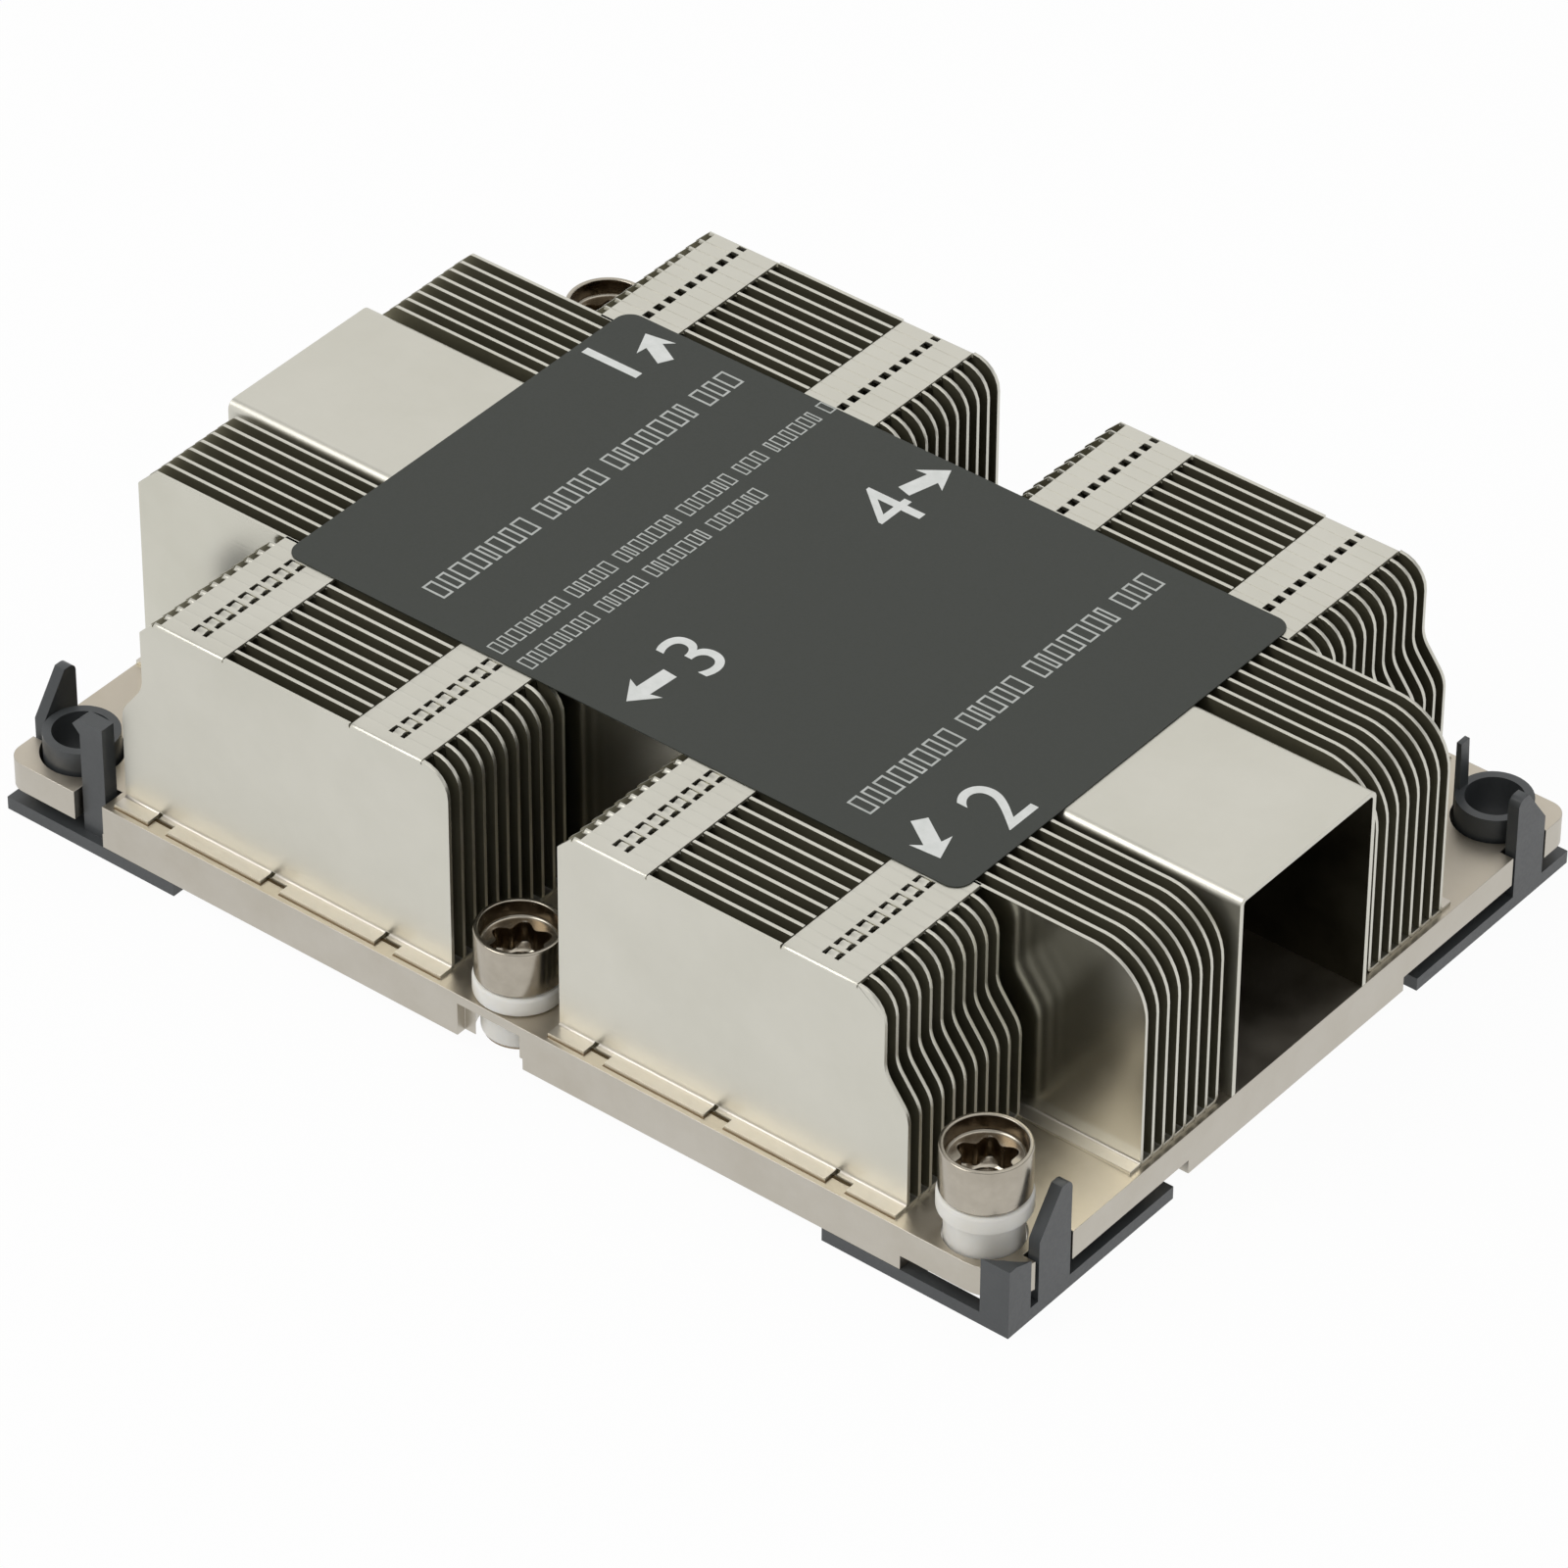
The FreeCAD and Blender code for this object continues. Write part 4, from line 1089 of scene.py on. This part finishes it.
def captive_nut(k):
    """A steel nut. Outside it is plain; the walls of its cup, socket and thread are painted
    darker, as painted shade.
    """
    low, high = box_mm("captive_nut_%d" % k)
    body = (high.x - low.x) / 2
    bottom = low.z - NUT_PLACES[k].z
    collar_top = bottom + COLLAR_TALL
    top = SEAT + NUT_TALL
    floor, cup = top - CUP_DEEP, body - CUP_WALL
    outside = rounded([(THREAD + THREAD_DEEP, bottom, 0),
                       (COLLAR, collar_top - COLLAR_SLOPE, 0.12),
                       (SHANK, collar_top, 0.05), (SHANK, SEAT, 0.05), (body, SEAT, 0.3),
                       (body, top, 0.16), (cup, top, 0.12), (cup, floor, 0.3),
                       (SOCKET_MIDDLE + SOCKET_SWING + FLOOR_EDGE, floor, 0)], PROFILE_CHORDS)
    rings = [tuple(point) for point in outside] + hollow_rings(floor, bottom)
    piece = turned("captive_nut_%d_turned" % k, NUT_PLACES[k], rings, [NUT_METAL, NUT_PAINTED_SHADE])
    apply_modifiers(piece, NUT_SHARP)
    # Painted shade: the upright walls inside the cup take the darker second finish.
    for face in piece.data.polygons:
        reach = (face.center.xy / MM - NUT_PLACES[k].xy).length
        if reach < cup + WALL_PLAY and abs(face.normal.z) < LEVEL:
            face.material_index = 1
    return tie(piece, "nut_steel", "nut_%d" % k, "captive_nut_%d" % k)


nuts = [captive_nut(k) for k in NUT_PLACES]
print("nuts:", len(nuts), "with", len(nuts[0].data.polygons), "faces each")

# %% [markdown]
# The plate is milled and the carrier is moulded, and both solids already have the right
# form. A razor edge gives them away, though, so each gets a copy of its solid: flat faces
# are joined again, and the edges are eased a little.

# %% Eased copies of two solids
PLATE_EASE, CARRIER_EASE, BLOCK_SEGMENTS = 0.16, 0.12, 3
WELD, FLAT_ANGLE = 0.002, 1.0


def eased_copy(name, node, width, materials, slot, edge_slot=None):
    """A solid with eased edges. Its sides take the second finish, where there is one."""
    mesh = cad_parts[node].data.copy()
    mesh.name = name
    mesh.materials.clear()
    for material in materials:
        mesh.materials.append(material)
    shape = bmesh.new()
    shape.from_mesh(mesh)
    bmesh.ops.remove_doubles(shape, verts=shape.verts, dist=WELD * MM)
    bmesh.ops.dissolve_limit(shape, angle_limit=math.radians(FLAT_ANGLE), verts=shape.verts,
                             edges=shape.edges, use_dissolve_boundaries=False)
    for face in shape.faces:
        face.material_index = int(len(materials) > 1 and abs(face.normal.z) < SLOPED)
    shape.to_mesh(mesh)
    shape.free()
    piece = add_object(name, mesh)
    ease(piece, width, BLOCK_SEGMENTS, edge_slot)
    apply_modifiers(piece)
    weigh_normals(piece)
    return tie(piece, slot, "root", node)


plate = eased_copy("base_plate_plated", "base_plate", PLATE_EASE, [PLATE_METAL, PLATE_EDGE],
                   "plate_nickel", 1)
carrier = eased_copy("package_carrier_moulded", "package_carrier", CARRIER_EASE,
                     [CARRIER_PLASTIC], "carrier_plastic")
print("faces of the plate:", len(plate.data.polygons))
print("faces of the carrier:", len(carrier.data.polygons))

# %% [markdown]
# The background is white paper. Seen by the camera or in the metal, the floor and the lower
# part of the sky shine with a strength of 1, which is white, and a share of the paper's own
# shading keeps the soft shadow. The lamps are three large panels: one high on the left, one
# overhead, and one behind, whose reflection lies on everything that faces up.


# %% Rays that see the background
def combine(tree, operation, first, second):
    """A Math node over two sockets, or over a socket and a number."""
    node = tree.nodes.new("ShaderNodeMath")
    node.operation = operation
    tree.links.new(first, node.inputs[0])
    if isinstance(second, float):
        node.inputs[1].default_value = second
    else:
        tree.links.new(second, node.inputs[1])
    return node.outputs["Value"]


def sees_background(tree):
    """One for a ray of the camera, of a reflection or of light through a piece."""
    rays = tree.nodes.new("ShaderNodeLightPath").outputs
    either = combine(tree, "MAXIMUM", rays["Is Camera Ray"], rays["Is Glossy Ray"])
    return combine(tree, "MAXIMUM", either, rays["Is Transmission Ray"])


# %% Floor
FLOOR_SHADE = 0.04
FLOOR_HALF = 1200.0
PAPER = (0.8, 0.8, 0.8, 1.0)


def floor_material():
    material, shader = new_material("white_paper", Roughness=0.9, Base_Color=PAPER)
    tree = material.node_tree
    glow = tree.nodes.new("ShaderNodeEmission")
    mix = tree.nodes.new("ShaderNodeMixShader")
    amount = combine(tree, "MULTIPLY", sees_background(tree), 1.0 - FLOOR_SHADE)
    tree.links.new(amount, mix.inputs["Fac"])
    tree.links.new(shader.outputs["BSDF"], mix.inputs[1])
    tree.links.new(glow.outputs["Emission"], mix.inputs[2])
    tree.links.new(mix.outputs["Shader"], tree.nodes["Material Output"].inputs["Surface"])
    return material


def add_floor():
    corners = [(x * FLOOR_HALF, y * FLOOR_HALF, 0) for x, y in ((-1, -1), (1, -1), (1, 1),
                                                                (-1, 1))]
    piece = new_piece("paper_floor", corners, [[0, 1, 2, 3]], [floor_material()])
    return piece


paper = add_floor()
print("floor:", round(paper.dimensions.x, 2), "m wide")

# %% World and lamps
BACKDROP_LOW, BACKDROP_HIGH = 0.25, 0.5
SKY_TOP, SKY_LOW, SKY_HIGH = 0.9, 0.24, 0.62
WHITE = (1.0, 1.0, 1.0, 1.0)


def add_world():
    """A soft sky, with a white backdrop round its foot."""
    world = bpy.data.worlds.new("studio")
    bpy.context.scene.world = world
    world.use_nodes = True
    tree = world.node_tree
    background = tree.nodes["Background"]
    position = tree.nodes.new("ShaderNodeTexCoord")
    split = tree.nodes.new("ShaderNodeSeparateXYZ")
    tree.links.new(position.outputs["Generated"], split.inputs["Vector"])
    height = split.outputs["Z"]
    sky = map_range(tree, height, 0.0, SKY_TOP, SKY_LOW, SKY_HIGH)
    backdrop = map_range(tree, height, BACKDROP_LOW, BACKDROP_HIGH, 1.0, 0.0)
    mix = tree.nodes.new("ShaderNodeMix")
    tree.links.new(combine(tree, "MULTIPLY", backdrop, sees_background(tree)),
                   mix.inputs["Factor"])
    tree.links.new(sky, mix.inputs["A"])
    mix.inputs["B"].default_value = 1.0
    tree.links.new(mix.outputs["Result"], background.inputs["Strength"])
    background.inputs["Color"].default_value = WHITE


def add_panel(name, place, size, power, colour):
    """A square lamp that looks at the middle of the object."""
    data = bpy.data.lights.new(name, "AREA")
    data.shape = "SQUARE"
    data.size = size
    data.energy = power
    data.color = colour
    lamp = add_object(name, data)
    lamp.location = place
    lamp.rotation_euler = (-Vector(place)).to_track_quat("-Z", "Y").to_euler()
    return lamp


add_world()
panels = [add_panel("panel_left", (-0.35, -0.55, 0.75), 0.5, 3.2, (1.0, 0.985, 0.96)),
          add_panel("panel_above", (0.1, 0.25, 0.9), 0.7, 1.0, (1.0, 0.99, 0.97)),
          add_panel("panel_behind", (-0.46, 0.58, 0.6), 0.6, 0.57, (1.0, 0.99, 0.97))]
bpy.context.scene.view_settings.view_transform = "Standard"
print("lamps:", len(panels))
